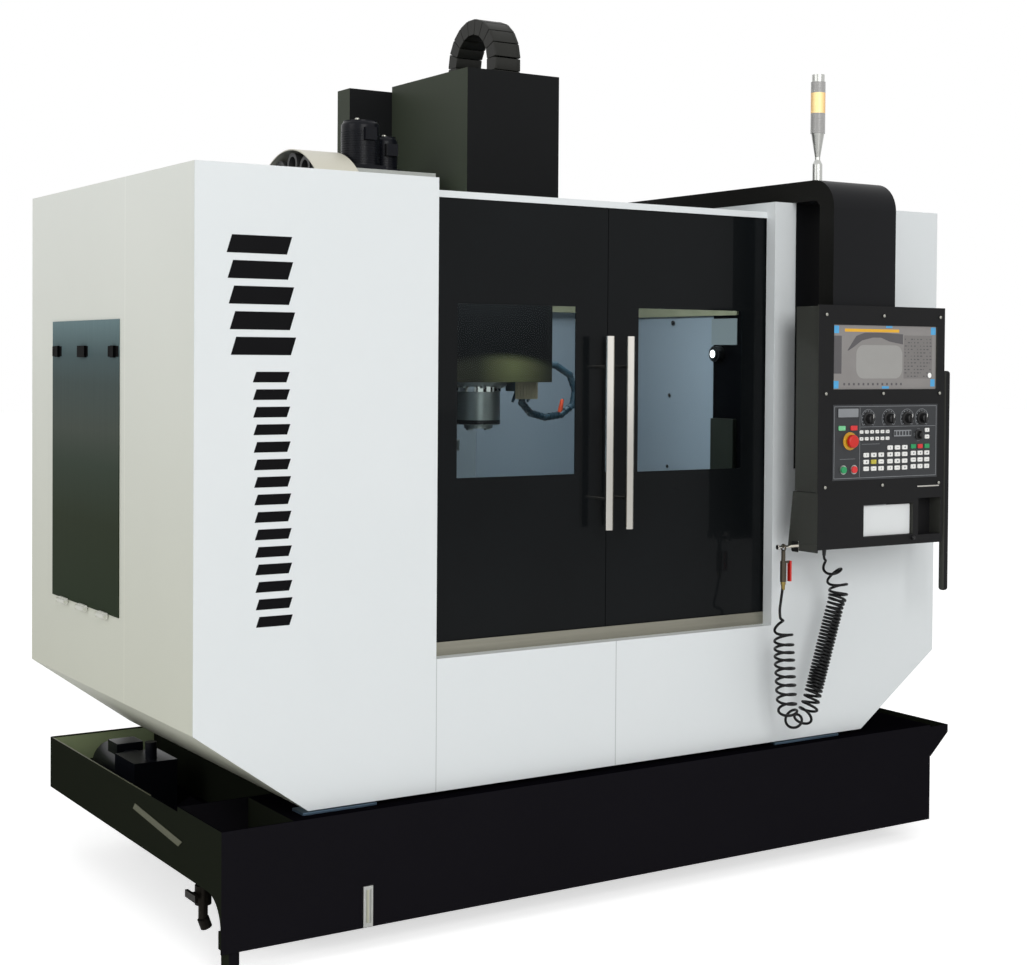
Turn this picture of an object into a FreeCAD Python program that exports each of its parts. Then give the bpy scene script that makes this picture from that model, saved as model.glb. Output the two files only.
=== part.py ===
"""A vertical machining centre with a closed sheet-metal enclosure.

Working frame, in millimetres: X to the right, Y to the back, Z up.  X = 0 is the
seam between the two sliding doors, Y = 0 the outer face of the front panels and
Z = 0 the floor.  At the end every piece is moved so that the origin is on the
floor, under the middle of the machine's bounding box.
"""
import FreeCAD
import Part
import math
import os

V = FreeCAD.Vector
X_AXIS, Y_AXIS, Z_AXIS = V(1, 0, 0), V(0, 1, 0), V(0, 0, 1)

# ---------------------------------------------------------------- clearances and stock
gap = 0.3                    # between pieces of different bodies
running = 0.06               # radial play of a shaft in its hole
sheet = 3.0                  # folded steel sheet of the enclosure
tank_wall = 4.0
over = 1.0                   # how far a cutting tool runs past the face that it opens
step_gap = 2.0               # air between a fixed piece and sheet metal around it

# ---------------------------------------------------------------- enclosure
enclosure_width = 2500.0
enclosure_height = 1972.0
enclosure_depth = 1264.0
skirt_height = 367.0         # lower edge of the front panels
waist_height = 587.0         # below this the side panels fold inward
fold_in = 307.0              # how far they fold in
flange = 40.0
opening_width = 1150.0       # between the two front panels
return_depth = 38.0          # front panel's fold beside the doors
upper_return_depth = 380.0   # its deeper wall above the doors
half_width = enclosure_width / 2
half_opening = opening_width / 2

# ---------------------------------------------------------------- sliding doors
sill_bottom = 716.0
sill_height = 36.0
header_bottom = 1926.0
header_height = 18.0
rail_depth = 72.0            # depth of the sill and header channels
door_thickness = 25.0
door_skin = 3.0
door_rim = 26.0              # folded frame behind the skin
door_seam = 2.0
door_overlap = 30.0          # door behind the front panel when shut
door_lead = 4.0              # channel lip to door face
door_shoe_height = 6.0
door_travel = 520.0
window_width = 382.0
window_height = 464.0
window_bottom = 1184.0
window_from_seam = 108.0
window_lap = 12.0            # glass behind the skin, all round
glass_thickness = 6.0
handle_radius = 13.0
handle_bottom = 1030.0
handle_length = 537.0
handle_from_seam = 35.0
handle_stand_off = 60.0      # door face to the bar's axis
handle_foot_radius = 5.5
handle_foot_inset = 85.0     # bar end to foot

# ---------------------------------------------------------------- side hatch
hatch_front = 510.0
hatch_width = 550.0
hatch_bottom = 808.0
hatch_height = 792.0
hatch_lap = 20.0
hatch_skin = 3.0
hinge_pin_radius = 4.0
hinge_barrel_radius = 7.0
hinge_knuckle = 60.0
hatch_hinges = (0.2, 0.5, 0.8)   # shares of the hatch's width
hatch_catches = ((0.04, 24.0), (0.46, 60.0), (0.88, 24.0))   # share of the width, own width
hatch_catch_drop = 102.0     # hatch's top edge to the catches' lower edge
hatch_catch_height = 32.0
hatch_catch_depth = 8.0

# ---------------------------------------------------------------- bed, column and axes
base_width = 940.0
base_front = 262.0
base_bottom = 60.0
base_top = 560.0
casting_wall = 25.0
foot_reach = 90.0
foot_height = 40.0
foot_hole_radius = 11.0
foot_inset = 60.0
pad_radius = 45.0
pad_height = 25.0
auger_motor_radius = 52.0
base_bays = 3
column_wall = 30.0
column_back_margin = 120.0   # column's sides to the opening in its back
column_back_low = 240.0      # bed to that opening
column_arch_width = 182.0    # over the Y motor
column_arch_height = 78.0    # its crown above the Y screw
drive_plate = 20.0           # between the column's top and the Z motor
column_width = 600.0
column_front = 1240.0
column_depth = 520.0
column_top = 2080.0
rail_size = 35.0
y_rail_spread = 400.0
z_rail_spread = 320.0
x_rail_spread = 240.0
screw_radius = 16.0
motor_size = 130.0
motor_length = 160.0
spindle_y = 735.0
saddle_length = 960.0
saddle_depth = 380.0
saddle_thickness = 94.0
table_length = 900.0
table_depth = 420.0
table_thickness = 75.0
table_top = 850.0
slot_count = 5
slot_pitch = 80.0
slot_width = 18.0
slot_neck_depth = 20.0
slot_foot_width = 30.0
slot_foot_height = 13.0
truck_length = 80.0
truck_width = 64.0
truck_clear = 2.0            # below a truck
rail_end = 5.0               # rail's end to the casting's edge
screw_nut_radius = 32.0
x_screw_radius = 12.0
x_screw_lift = 30.0          # X screw's axis over the saddle
x_nut_radius = 26.4
x_bearing_width = 80.0
x_motor_size = 100.0
y_bellows_width = 520.0
y_bellows_lift = 40.0        # lower edge over the bed
y_bellows_height = 45.0
y_bellows_folds = 14
z_bellows_width = 370.0
z_bellows_depth = 30.0
z_bellows_start = 150.0      # lower end over the bed
z_bellows_folds = 24
bellows_thickness = 4.0
y_travel_front = 220.0
y_travel_back = 200.0
z_travel_down = 400.0
z_travel_up = 100.0
x_travel = 325.0
base_back = column_front + column_depth

# ---------------------------------------------------------------- head and spindle
head_width = 360.0
head_front = 590.0
head_bottom = 1430.0
head_top = 1990.0
carriage_width = 400.0
carriage_top = 1975.0
carriage_front = 1009.0
carriage_back = 1193.0
cover_width = 330.0
cover_front = 540.0
cover_top = 2372.0
cover_step = 17.0            # the wide back part is this much lower
wide_cover_width = 634.0
wide_cover_depth = 84.0
wide_cover_bottom = 2045.0
wide_cover_top = cover_top - cover_step
head_wall = 30.0
head_room = 40.0             # above the spindle, inside the head
z_nut_drop = 300.0           # head's top to the lower end of its nut
z_nut_length = 100.0
cartridge_radius = 68.0
cartridge_flange_radius = 88.0
cartridge_flange = 12.0
cartridge_bottom = 1296.0
cartridge_end = 30.0         # cartridge's upper end above the spindle's
cartridge_bolts = 8
cartridge_bolt_radius = 7.0
cartridge_bolt_height = 8.0
spindle_radius = 45.0
spindle_nose = 1284.0
spindle_length = 250.0
taper_mouth_radius = 22.2
taper_end_radius = 12.6
taper_length = 65.0
drive_key_offset = 33.0
drive_key_width = 16.0
drive_key_height = 6.0
spindle_motor_radius = 110.0
spindle_motor_height = 340.0
motor_plate_margin = 15.0
motor_plate_thickness = 20.0
nozzle_y = 700.0             # plane of the coolant hose
nozzle_block_x = (96.0, 180.0)   # its manifold under the head
nozzle_block_depth = 56.0
nozzle_block_height = 30.0
nozzle_count = 3
nozzle_length = 40.0
nozzle_root = 8.0
nozzle_mouth = 4.0
nozzle_aim = (-0.45, 0.0, -0.89)
nozzle_root_depth = 2.0      # how far nozzles and hose reach into the manifold
hose_bead = 12.0             # ball-jointed hose from the manifold to the head's side
hose_neck = 9.5
hose_pitch = 16.0
hose_valve = (284.0, 1322.0)     # X and Z of its lever's foot
hose_valve_lever = 54.0
hose_valve_aim = (0.25, 0.0, 0.97)
coolant_route = ((140.0, 1362.0), (172.0, 1330.0), (228.0, 1316.0), (290.0, 1324.0),
                 (334.0, 1354.0), (344.0, 1402.0), (322.0, 1452.0), (268.0, 1482.0),
                 (200.0, 1486.0))

# ---------------------------------------------------------------- cable chain over the head
chain_left = 60.0
chain_width = 96.0
chain_thickness = 52.0
chain_front = 746.0
chain_outer_radius = 145.0
chain_top = 2594.0
chain_bracket_top = 2170.0
chain_bracket_thickness = 10.0
chain_bracket_post = 40.0    # length of its post on the column's top
chain_links_in_arch = 12
chain_link_pitch = 40.0
chain_slot_margin = 8.0
chain_core_inset = 4.0       # the core is this much slimmer than the links
chain_link_gap = 4.0
chain_back = chain_front + 2 * chain_outer_radius

# ---------------------------------------------------------------- tool changer
magazine_radius = 260.0
magazine_left = -660.0
magazine_width = 140.0
magazine_height = 1850.0     # of its axis
magazine_pots = 16
pot_edge = 42.0              # drum's rim to the pots' circle
pot_radius = 33.0
pot_length = 90.0
pot_lead = 20.0              # how far pots stand out of the disc
disc_inset = 34.0            # drum's left edge to the disc
disc_thickness = 12.0
disc_rim = 20.0              # disc beyond the pots' circle
hub_length = 60.0
bearing_radius = 30.0
stub_inset = 30.0
magazine_link = 140.0        # width and height of the block that carries the drum
gate_width = 90.0
gate_height = 60.0
changer_x = -290.0
changer_arm_bottom = 1235.0
changer_arm_thickness = 30.0
changer_hub_radius = 52.0
changer_bar_width = 48.0
gripper_radius = 42.0
gripper_bore_radius = 27.0
gripper_mouth = 50.0
changer_sleeve_radius = 45.0
changer_sleeve = 40.0
changer_shaft_depth = 60.0   # shaft's upper end inside the gearbox
gearbox_left = -510.0
gearbox_right = -215.0
gearbox_depth = 190.0
gearbox_bottom = 1500.0
gearbox_top = 2060.0
bracket_height = 190.0       # of the arm that ties the gearbox to the column
bracket_step = 13.0          # bracket's edge beside the head's wide cover
bracket_depth = 100.0        # how far it reaches along the column
bracket_pad_start = 10.0
# Changer motors: from the gearbox's left, from the spindle's plane, radius and height.
atc_motor_sizes = ((70.0, -35.0, 57.0, 145.0), (175.0, 10.0, 40.0, 110.0))
atc_cap_height = 18.0
atc_cap_inset = 6.0
atc_foot_height = 12.0
socket_width = 36.0
socket_reach = 14.0
socket_bottom = 60.0         # motor's top to the socket's lower edge
socket_top = 24.0

# ---------------------------------------------------------------- coolant tank
tank_front = -41.0
tank_depth = 281.0
tank_bottom = 60.0
tank_top = 358.0
tank_left = -1193.0
tank_right = 1203.0
tank_step = 193.0            # the shallow left end
tray_bottom = 193.0
tray_top = 345.0
tray_width = 333.0
tray_back = 1262.0
flare_bottom = 262.0
flare_top = 330.0
flare_reach = 74.0
flare_lip = 22.0
skirt_radius = 80.0
tank_foot_radius = 22.0
tank_foot_margin = 60.0      # deep part's ends to its feet
tank_foot_setback = 190.0    # tank's front to the feet behind it
tray_foot_setback = 90.0     # tray's back to its foot
corner_foot_inset = 35.0
flap_foot = 60.0             # tray's floor to the lower edge of its flap
flap_width = 130.0
flap_drop = 30.0             # tray's rim to the upper edge of its flap
flap_start = 40.0
flap_length = 190.0
valve_inset = 33.0
valve_y = 150.0
valve_pipe_radius = 12.0
valve_body_radius = 21.0
valve_body_length = 48.0
valve_drop = 40.0            # tank's underside to the valve's axis
valve_outlet = 60.0          # valve's axis to the elbow
valve_elbow_length = 26.0
valve_elbow_wall = 3.0
valve_elbow_aim = (0.35, 0.0, -0.94)
valve_seat_radius = 10.0
valve_seat_reach = 6.0
valve_stem_radius = 5.0
valve_stem_length = 24.0
valve_stem_hole = 20.0
valve_lever_length = 66.0
valve_lever_width = 18.0
valve_lever_thickness = 8.0
sight_left = 383.0           # tank's left end to the level glass
sight_width = 27.0
sight_lift = 3.0             # tank's underside to the level glass
sight_height = 104.0
sight_depth = 6.0
sight_rim = 5.0
sight_end = 10.0
sight_tube_radius = 3.0

# ---------------------------------------------------------------- coolant pump in the left tray
pump_from_side = 170.0       # tank's left side to the pump's axis
pump_front = 830.0
pump_housing = (130.0, 160.0, 138.0)
pump_axis_height = 70.0
pump_motor_radius = 62.0
pump_motor_length = 206.0
pump_foot_start = 30.0       # housing's back to the motor's foot
pump_foot = (90.0, 140.0, 30.0)
pump_terminal_start = 50.0
pump_terminal = (80.0, 80.0, 52.0)
pump_terminal_lift = 100.0
pump_outlet_radius = 17.0
pump_outlet_length = 50.0
pump_outlet_start = 40.0

# ---------------------------------------------------------------- chip auger
auger_y = 150.0
auger_z = 470.0
auger_radius = 52.0
auger_shaft_radius = 15.0
auger_pitch = 90.0
trough_radius = 62.0
guard_half_width = 840.0     # inner splash walls
guard_top = 1940.0
guard_hanger = (30.0, 900.0, 100.0)  # width, Y of its front and depth of the right wall's hanger
pan_drop = 20.0              # pan's edge under the bed's top
pan_thickness = 8.0
blade_thickness = 4.0
blade_root = 2.0             # flight sunk into its shaft
auger_end = 20.0             # trough's end to the flight

# ---------------------------------------------------------------- electrical cabinet
cabinet_width = 960.0
cabinet_depth = 360.0
cabinet_bottom = 420.0
cabinet_height = 1530.0
cabinet_sheet = 3.0
cabinet_door_thickness = 22.0
cabinet_hinges = (0.12, 0.5, 0.88)   # shares of its height
plate_margin = 60.0          # mounting plate to the cabinet's walls
plate_thickness = 12.0
drive_count = 5
drive_first = 110.0          # cabinet's left wall to the first drive
drive_pitch = 150.0
drive_width = 110.0
drive_depth = 178.0
drive_top = 180.0            # below the cabinet's top
drive_height = 380.0
filter_depth = 98.0
filter_bottom = 420.0        # over the cabinet's floor
filter_height = 220.0
switch_inset = 110.0
switch_share = 0.72          # of the cabinet's height
switch_shaft_radius = 6.0
switch_shaft_depth = 12.0
switch_radius = 34.0
switch_thickness = 12.0
switch_grip_width = 16.0
switch_grip_depth = 30.0

# ---------------------------------------------------------------- pendant and its arm
arm_left = 640.0
arm_width = 248.0
arm_thickness = 60.0
arm_wall = 4.0
arm_front = -180.0
arm_top = 2032.0
arm_back = 1243.0
arm_outer_radius = 85.0
arm_inner_radius = 25.0
arm_cable_radius = 12.0
arm_cable_place = (40.0, 120.0)  # from the arm's left side and from its back end
backing_left = 656.0
backing_width = 250.0
backing_bottom = 1180.0
pendant_left = 570.0
pendant_width = 506.0
pendant_front = -200.0
pendant_depth = 97.0
pendant_top = 1660.0
pendant_split = 1124.0       # console below, box above
pendant_bottom = 958.0
pendant_wall = 3.0
bezel_thickness = 5.0
bezel_lap = 2.0
bezel_rise = 4.0             # bezel's top above the box's
bezel_screw_radius = 4.0
bezel_screw_height = 1.5
bezel_screw_x = (26.0, 253.0, 486.0)     # from the box's left side
bezel_screw_z = (14.0, 284.0, 512.0)     # above the console
console_back_top = -95.0
console_back_bottom = -75.0
console_opening_left = 751.0
console_opening_width = 201.0
console_opening_bottom = 987.0
console_opening_height = 94.0
console_recess_gap = 22.0    # opening to the recess on its right
console_recess_inset = 8.0
console_recess_depth = 45.0
console_recess_bottom = 26.0
console_roof = 30.0
console_back_wall = 8.0
trim_width = 90.0
trim_inset = 18.0
trim_lift = 4.0
screen_left = 627.0
screen_width = 419.0
screen_bottom = 1420.0
screen_height = 188.0
panel_left = 625.0
panel_width = 424.0
panel_bottom = 1156.0
panel_height = 220.0
swivel_boss_radius = 42.0
swivel_pin_radius = 15.0
swivel_pin_length = 18.0
swivel_pad_wall = 8.0
swivel_pad_height = 22.0
grab_bar_left = 1098.0
grab_bar_width = 24.0
grab_bar_setback = 14.0
grab_bar_radius = 9.0
grab_bar_bottom = 806.0
grab_bar_top = 1475.0
grab_tie_height = 30.0
grab_tie_inset = 50.0        # bar's top to the upper tie's lower edge

# ---------------------------------------------------------------- screen and key panel
screen_edge = 12.0           # behind the bezel, all round
screen_depth = 8.0
panel_backing = 4.0
panel_rise = 1.0             # panel's face in front of the bezel
key_height = 2.0
# Key groups: first key from the panel's lower left corner, pitch, counts and key size.
key_groups = (((111.0, 120.0), (21.0, 20.0), (6, 2), (13.0, 9.0)),
              ((131.0, 32.0), (30.0, 20.0), (3, 3), (20.0, 12.0)),
              ((227.0, 32.0), (30.0, 20.0), (3, 4), (20.0, 12.0)),
              ((323.0, 34.0), (28.0, 20.0), (3, 4), (19.0, 12.0)),
              ((379.0, 122.0), (20.0, 20.0), (1, 2), (17.0, 11.0)),
              ((34.0, 152.0), (47.0, 20.0), (2, 1), (25.0, 13.0)),
              ((277.0, 134.0), (73.0, 20.0), (1, 1), (73.0, 20.0)),
              ((58.0, 196.0), (80.0, 26.0), (1, 1), (80.0, 26.0)))
knob_places = (139.0, 222.0, 297.0, 358.0)
knob_line = 178.0
knob_radius = 14.0
knob_height = 18.0
knob_grip_width = 6.0
knob_skirt_height = 3.0
knob_skirt_lap = 5.0
knob_waist = 3.0
button_place = (41.0, 31.0)
button_spacing = 42.0
button_radius = 10.0
button_travel = 3.0
button_length = 12.0
button_hole_depth = 20.0
stop_place = (67.0, 114.0)
stop_radius = 19.0
stop_height = 12.0
stop_rounding = 5.0
stop_ring_height = 3.0
stop_ring_lap = 5.0
stop_stem_radius = 8.0
stop_stem_length = 20.0
stop_travel = 5.0

# ---------------------------------------------------------------- signal tower
tower_x = 785.0
tower_y = 50.0
tower_foot_radius = 15.0
tower_waist_radius = 8.0
tower_lens_radius = 22.0
tower_waist_height = 82.0
tower_shoulder = 14.0
tower_waist_length = 8.0
tower_lens_lap = 2.0
tower_cap_inset = 3.0
tower_lens_base = 162.0
tower_bands = (44.0, 56.0, 56.0)
tower_cap = 22.0

# ---------------------------------------------------------------- work lamp
lamp_place = (564.0, 1523.0)     # Y and Z on the right splash wall
lamp_radius = 26.0
lamp_depth = 30.0
lamp_lens_radius = 20.0
lamp_lens_depth = 6.0

# ---------------------------------------------------------------- air hose and gun
hose_diameter = 8.0
hose_plane_y = -100.0
# The coil's axis, from the console down, round the bottom and up to the gun:
# X, Z, curl radius and curls from the start up to that point.
hose_stations = (
    (690.0, 958.0, 0.0, 0.0),
    (690.0, 920.0, 0.0, 0.0),
    (713.0, 890.0, 21.0, 0.5),
    (740.0, 856.0, 28.0, 1.3),
    (748.0, 812.0, 26.0, 2.8),
    (735.0, 772.0, 23.0, 6.0),
    (707.0, 688.0, 23.0, 14.5),
    (679.0, 604.0, 23.0, 23.2),
    (651.0, 520.0, 23.0, 31.9),
    (630.0, 470.0, 25.0, 34.4),
    (592.0, 444.0, 22.0, 35.6),
    (556.0, 476.0, 26.0, 36.8),
    (547.0, 534.0, 28.0, 38.8),
    (540.0, 620.0, 28.0, 42.2),
    (533.0, 706.0, 26.0, 45.7),
    (514.0, 758.0, 6.0, 46.7),
    (523.0, 802.0, 0.0, 46.7),
    (531.0, 852.0, 0.0, 46.7),
)
gun_radius = 9.0
gun_eye_z = 959.0            # middle of the gun's hanging eye
gun_eye_radius = 9.0
gun_eye_wire = 2.5
gun_collar = 6.0             # radius of the inlet collar and of the neck
gun_barrel = 60.0            # length of its thick part
gun_lever_gap = 12.0
hook_bar_radius = 4.0
hook_length = 62.0           # how far it stands out from the console's side
hook_plate = (110.0, 22.0)   # along the console's side, and high


# ================================================================ helpers
def box(x, y, z):
    """Block between pairs of X, Y and Z values."""
    return Part.makeBox(x[1] - x[0], y[1] - y[0], z[1] - z[0], V(x[0], y[0], z[0]))


def rod(start, axis, radius, length):
    """Cylinder from start along axis."""
    return Part.makeCylinder(radius, length, V(*start), axis)


def fuse(pieces):
    """One solid from pieces that meet."""
    pieces = list(pieces)
    result = pieces[0]
    if len(pieces) > 1:
        result = result.multiFuse(pieces[1:])
    return result.removeSplitter()


def cut(shape, tools):
    """Shape less every tool."""
    for tool in tools:
        shape = shape.cut(tool)
    return shape


def to_space(axis, across, up, along):
    """A point of the plane square to axis: (Y, Z) for X, (X, Z) for Y, (X, Y) for Z."""
    if axis == "x":
        return V(along, across, up)
    if axis == "y":
        return V(across, along, up)
    return V(across, up, along)


def prism(points, axis, start, length):
    """A flat outline pushed along an axis."""
    corners = [to_space(axis, a, b, start) for a, b in points]
    face = Part.Face(Part.makePolygon(corners + corners[:1]))
    reach = {"x": X_AXIS, "y": Y_AXIS, "z": Z_AXIS}[axis] * length
    return face.extrude(reach)


def sheet_outline(points, thickness):
    """Outline of a folded sheet: the points, then the same folds offset to their left."""
    count = len(points)
    normals = []
    for (x0, y0), (x1, y1) in zip(points[:-1], points[1:]):
        length = math.hypot(x1 - x0, y1 - y0)
        normals.append(((y0 - y1) / length, (x1 - x0) / length))
    inner = []
    for i in range(count):
        before = normals[max(i - 1, 0)]
        after = normals[min(i, count - 2)]
        scale = thickness / (1 + before[0] * after[0] + before[1] * after[1])
        inner.append((points[i][0] + scale * (before[0] + after[0]),
                      points[i][1] + scale * (before[1] + after[1])))
    return list(points) + inner[::-1]


def folded(points, axis, start, length, thickness=sheet):
    """A folded sheet pushed along an axis."""
    return prism(sheet_outline(points, thickness), axis, start, length)


def mirrored(shape):
    """The same piece on the other side of X = 0."""
    return shape.mirror(V(0, 0, 0), X_AXIS)


def hollow(x, y, z, wall, open_sides=()):
    """Box shell of a wall; open_sides names faces left away, such as 'top' or 'back'."""
    inner = {"left": x[0] + wall, "right": x[1] - wall, "front": y[0] + wall,
             "back": y[1] - wall, "bottom": z[0] + wall, "top": z[1] - wall}
    outer = {"left": x[0] - over, "right": x[1] + over, "front": y[0] - over,
             "back": y[1] + over, "bottom": z[0] - over, "top": z[1] + over}
    inner.update({side: outer[side] for side in open_sides})
    void = box((inner["left"], inner["right"]), (inner["front"], inner["back"]),
               (inner["bottom"], inner["top"]))
    return box(x, y, z).cut(void)


parts = {}

# ================================================================ enclosure panels
door_front = return_depth + sheet + door_lead
door_back = door_front + door_thickness
rail_back = return_depth + rail_depth
header_top = header_bottom + header_height


def front_panel():
    """Left front panel, with its fold beside the doors and its wall above them."""
    inner_edge = -half_opening
    face = prism([(-half_width, enclosure_height), (inner_edge, enclosure_height),
                  (inner_edge, skirt_height), (-half_width + fold_in, skirt_height),
                  (-half_width, waist_height)], "y", 0, sheet)
    edge = (inner_edge - sheet, inner_edge)
    side_return = box(edge, (0, return_depth), (skirt_height, enclosure_height))
    upper_return = box(edge, (0, upper_return_depth),
                       (header_top + gap, enclosure_height))
    top = box((-half_width + flange, inner_edge), (0, flange),
              (enclosure_height - sheet, enclosure_height))
    return fuse([face, side_return, upper_return, top])


def side_panel(with_hatch):
    """Left side panel: upright, then folded inward, with an opening for the hatch."""
    profile = [(-half_width + fold_in, skirt_height), (-half_width, waist_height),
               (-half_width, enclosure_height), (-half_width + flange, enclosure_height)]
    panel = folded(profile[::-1], "y", sheet, enclosure_depth - sheet)
    back = box((-half_width + sheet, -half_width + flange),
               (enclosure_depth - sheet, enclosure_depth), (waist_height, enclosure_height))
    panel = fuse([panel, back])
    if with_hatch:
        hole = box((-half_width - over, -half_width + sheet + over),
                   (hatch_front + hatch_lap, hatch_front + hatch_width - hatch_lap),
                   (hatch_bottom + hatch_lap, hatch_bottom + hatch_height - hatch_lap))
        panel = fuse([panel.cut(hole)] + hatch_lugs())
    return panel


# The hatch tilts about a line just outside its lower edge.
hatch_axis_x = -half_width - gap - hatch_skin - hinge_barrel_radius
hatch_axis_z = hatch_bottom - hinge_barrel_radius
hatch_knuckles = [hatch_front + hatch_width * share for share in hatch_hinges]


def hatch_lugs():
    """Pins of the hatch hinge, each on a lug welded to the side panel."""
    lugs = []
    for y in hatch_knuckles:
        start = y + hinge_knuckle / 2 + gap
        lug = box((hatch_axis_x - hinge_barrel_radius, -half_width), (start, start + sheet * 2),
                  (hatch_axis_z - hinge_barrel_radius, hatch_axis_z + hinge_barrel_radius))
        pin = rod((hatch_axis_x, start - hinge_knuckle - gap, hatch_axis_z), Y_AXIS,
                  hinge_pin_radius, hinge_knuckle + gap)
        lugs += [lug, pin]
    return lugs


def side_hatch():
    """Stainless service hatch with three hinge barrels and three square catches."""
    left = -half_width - gap - hatch_skin
    skin = box((left, left + hatch_skin), (hatch_front, hatch_front + hatch_width),
               (hatch_bottom, hatch_bottom + hatch_height))
    solids = [skin]
    for y in hatch_knuckles:
        ends = (y - hinge_knuckle / 2, y + hinge_knuckle / 2)
        barrel = rod((hatch_axis_x, ends[0], hatch_axis_z), Y_AXIS,
                     hinge_barrel_radius, hinge_knuckle)
        leaf = box((hatch_axis_x, left + hatch_skin), ends,
                   (hatch_axis_z + hinge_barrel_radius - sheet, hatch_bottom + sheet))
        bore = rod((hatch_axis_x, ends[0] - over, hatch_axis_z), Y_AXIS,
                   hinge_pin_radius + running, hinge_knuckle + 2 * over)
        solids.append(fuse([barrel, leaf]).cut(bore))
    catch_bottom = hatch_bottom + hatch_height - hatch_catch_drop
    for share, width in hatch_catches:
        start = hatch_front + hatch_width * share
        solids.append(box((left - hatch_catch_depth, left), (start, start + width),
                          (catch_bottom, catch_bottom + hatch_catch_height)))
    return fuse(solids)


def front_apron():
    """Panel under the doors; its top folds back to carry the sill."""
    face = box((-half_opening, half_opening), (0, sheet), (skirt_height, sill_bottom))
    shelf = box((-half_opening, half_opening), (0, rail_back),
                (sill_bottom - sheet, sill_bottom))
    foot = box((-half_opening, half_opening), (0, flange), (skirt_height, skirt_height + sheet))
    return fuse([face, shelf, foot])


def door_sill():
    """Stainless channel that the doors stand in."""
    ends = (-half_width + sheet, 2 * (half_width - sheet))
    profile = [(return_depth, sill_bottom + sill_height), (return_depth, sill_bottom),
               (rail_back, sill_bottom), (rail_back, sill_bottom + sill_height)]
    return folded(profile, "x", ends[0], ends[1])


def door_header():
    """White channel over the doors that keeps their top edge."""
    ends = (-half_width + sheet, 2 * (half_width - sheet))
    profile = [(rail_back, header_bottom - sill_height), (rail_back, header_top),
               (return_depth, header_top), (return_depth, header_bottom)]
    return folded(profile, "x", ends[0], ends[1])


def splash_guard():
    """Inner walls of the working area: left and right, each folded round at the back."""
    column_edge = column_width / 2 + step_gap
    side = box((-guard_half_width, -guard_half_width + sheet), (rail_back, column_front),
               (sill_bottom, guard_top))
    back = box((-guard_half_width, -column_edge), (column_front, column_front + sheet),
               (sill_bottom, guard_top))
    rim = box((-guard_half_width, -guard_half_width + flange), (rail_back, column_front),
              (guard_top - sheet, guard_top))
    notch = box((gearbox_left - step_gap, -column_edge + over),
                (column_front - over, column_front + sheet + over),
                (gearbox_bottom - step_gap, gearbox_bottom + bracket_height + step_gap))
    left = fuse([side, back, rim])
    hanger_width, hanger_front, hanger_depth = guard_hanger
    hanger = box((guard_half_width - hanger_width / 2, guard_half_width + hanger_width / 2),
                 (hanger_front, hanger_front + hanger_depth), (guard_top, enclosure_height))
    return Part.makeCompound([left.cut(notch), fuse([mirrored(left), hanger])])


parts["left_front_panel"] = front_panel()
parts["right_front_panel"] = mirrored(parts["left_front_panel"])
parts["left_side_panel"] = side_panel(True)
parts["right_side_panel"] = mirrored(side_panel(False))
parts["side_hatch"] = side_hatch()
parts["front_apron"] = front_apron()
parts["door_sill"] = door_sill()
parts["door_header"] = door_header()
parts["splash_guard"] = splash_guard()


# ================================================================ doors
door_bottom = sill_bottom + sheet + gap
door_top = header_top - sheet - door_shoe_height
door_outer_edge = half_opening + door_overlap
door_inner_edge = door_seam / 2
window_left = window_from_seam
window_right = window_from_seam + window_width
window_top = window_bottom + window_height


def door():
    """Right door: a skin with a folded rim, a rim round the window and two shoes."""
    x = (door_inner_edge, door_outer_edge)
    z = (door_bottom + door_shoe_height, door_top)
    body = hollow(x, (door_front, door_back), z, door_rim, ("front", "back"))
    skin = box(x, (door_front, door_front + door_skin), z)
    glass_edge = window_lap
    frame = box((window_left - glass_edge - door_skin, window_right + glass_edge + door_skin),
                (door_front, door_back - door_skin),
                (window_bottom - glass_edge - door_skin, window_top + glass_edge + door_skin))
    pocket = box((window_left - glass_edge, window_right + glass_edge),
                 (door_front + door_skin, door_back),
                 (window_bottom - glass_edge, window_top + glass_edge))
    hole = box((window_left, window_right), (door_front - over, door_back),
               (window_bottom, window_top))
    shoes = [box((start, start + flange), (door_front, door_back),
                 (door_bottom, door_bottom + door_shoe_height))
             for start in (x[0] + door_overlap, x[1] - 2 * door_overlap)]
    return cut(fuse([body, skin, frame] + shoes), [pocket, hole])


def window():
    """Glass pane behind the right door's skin."""
    start = door_front + door_skin
    return box((window_left - window_lap, window_right + window_lap),
               (start, start + glass_thickness),
               (window_bottom - window_lap, window_top + window_lap))


def handle():
    """Chrome bar on two feet, at the right door's inner edge."""
    bar_y = door_front - handle_stand_off
    solids = [rod((handle_from_seam, bar_y, handle_bottom), Z_AXIS, handle_radius, handle_length)]
    for z in (handle_bottom + handle_foot_inset, handle_bottom + handle_length - handle_foot_inset):
        solids.append(rod((handle_from_seam, bar_y, z), Y_AXIS, handle_foot_radius,
                          handle_stand_off))
    return fuse(solids)


for piece_name, piece in (("door", door()), ("window", window()), ("handle", handle())):
    parts["right_" + piece_name] = piece
    parts["left_" + piece_name] = mirrored(piece)


# ================================================================ bed and column
base_x = base_width / 2
column_x = column_width / 2
column_back = column_front + column_depth
foot_rows = [base_front + foot_inset, (base_front + base_back) / 2, base_back - foot_inset]
foot_x = base_x + foot_reach / 2
y_screw_z = base_top + rail_size / 2
drive_pocket = base_top - (y_screw_z - motor_size / 2)


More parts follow.
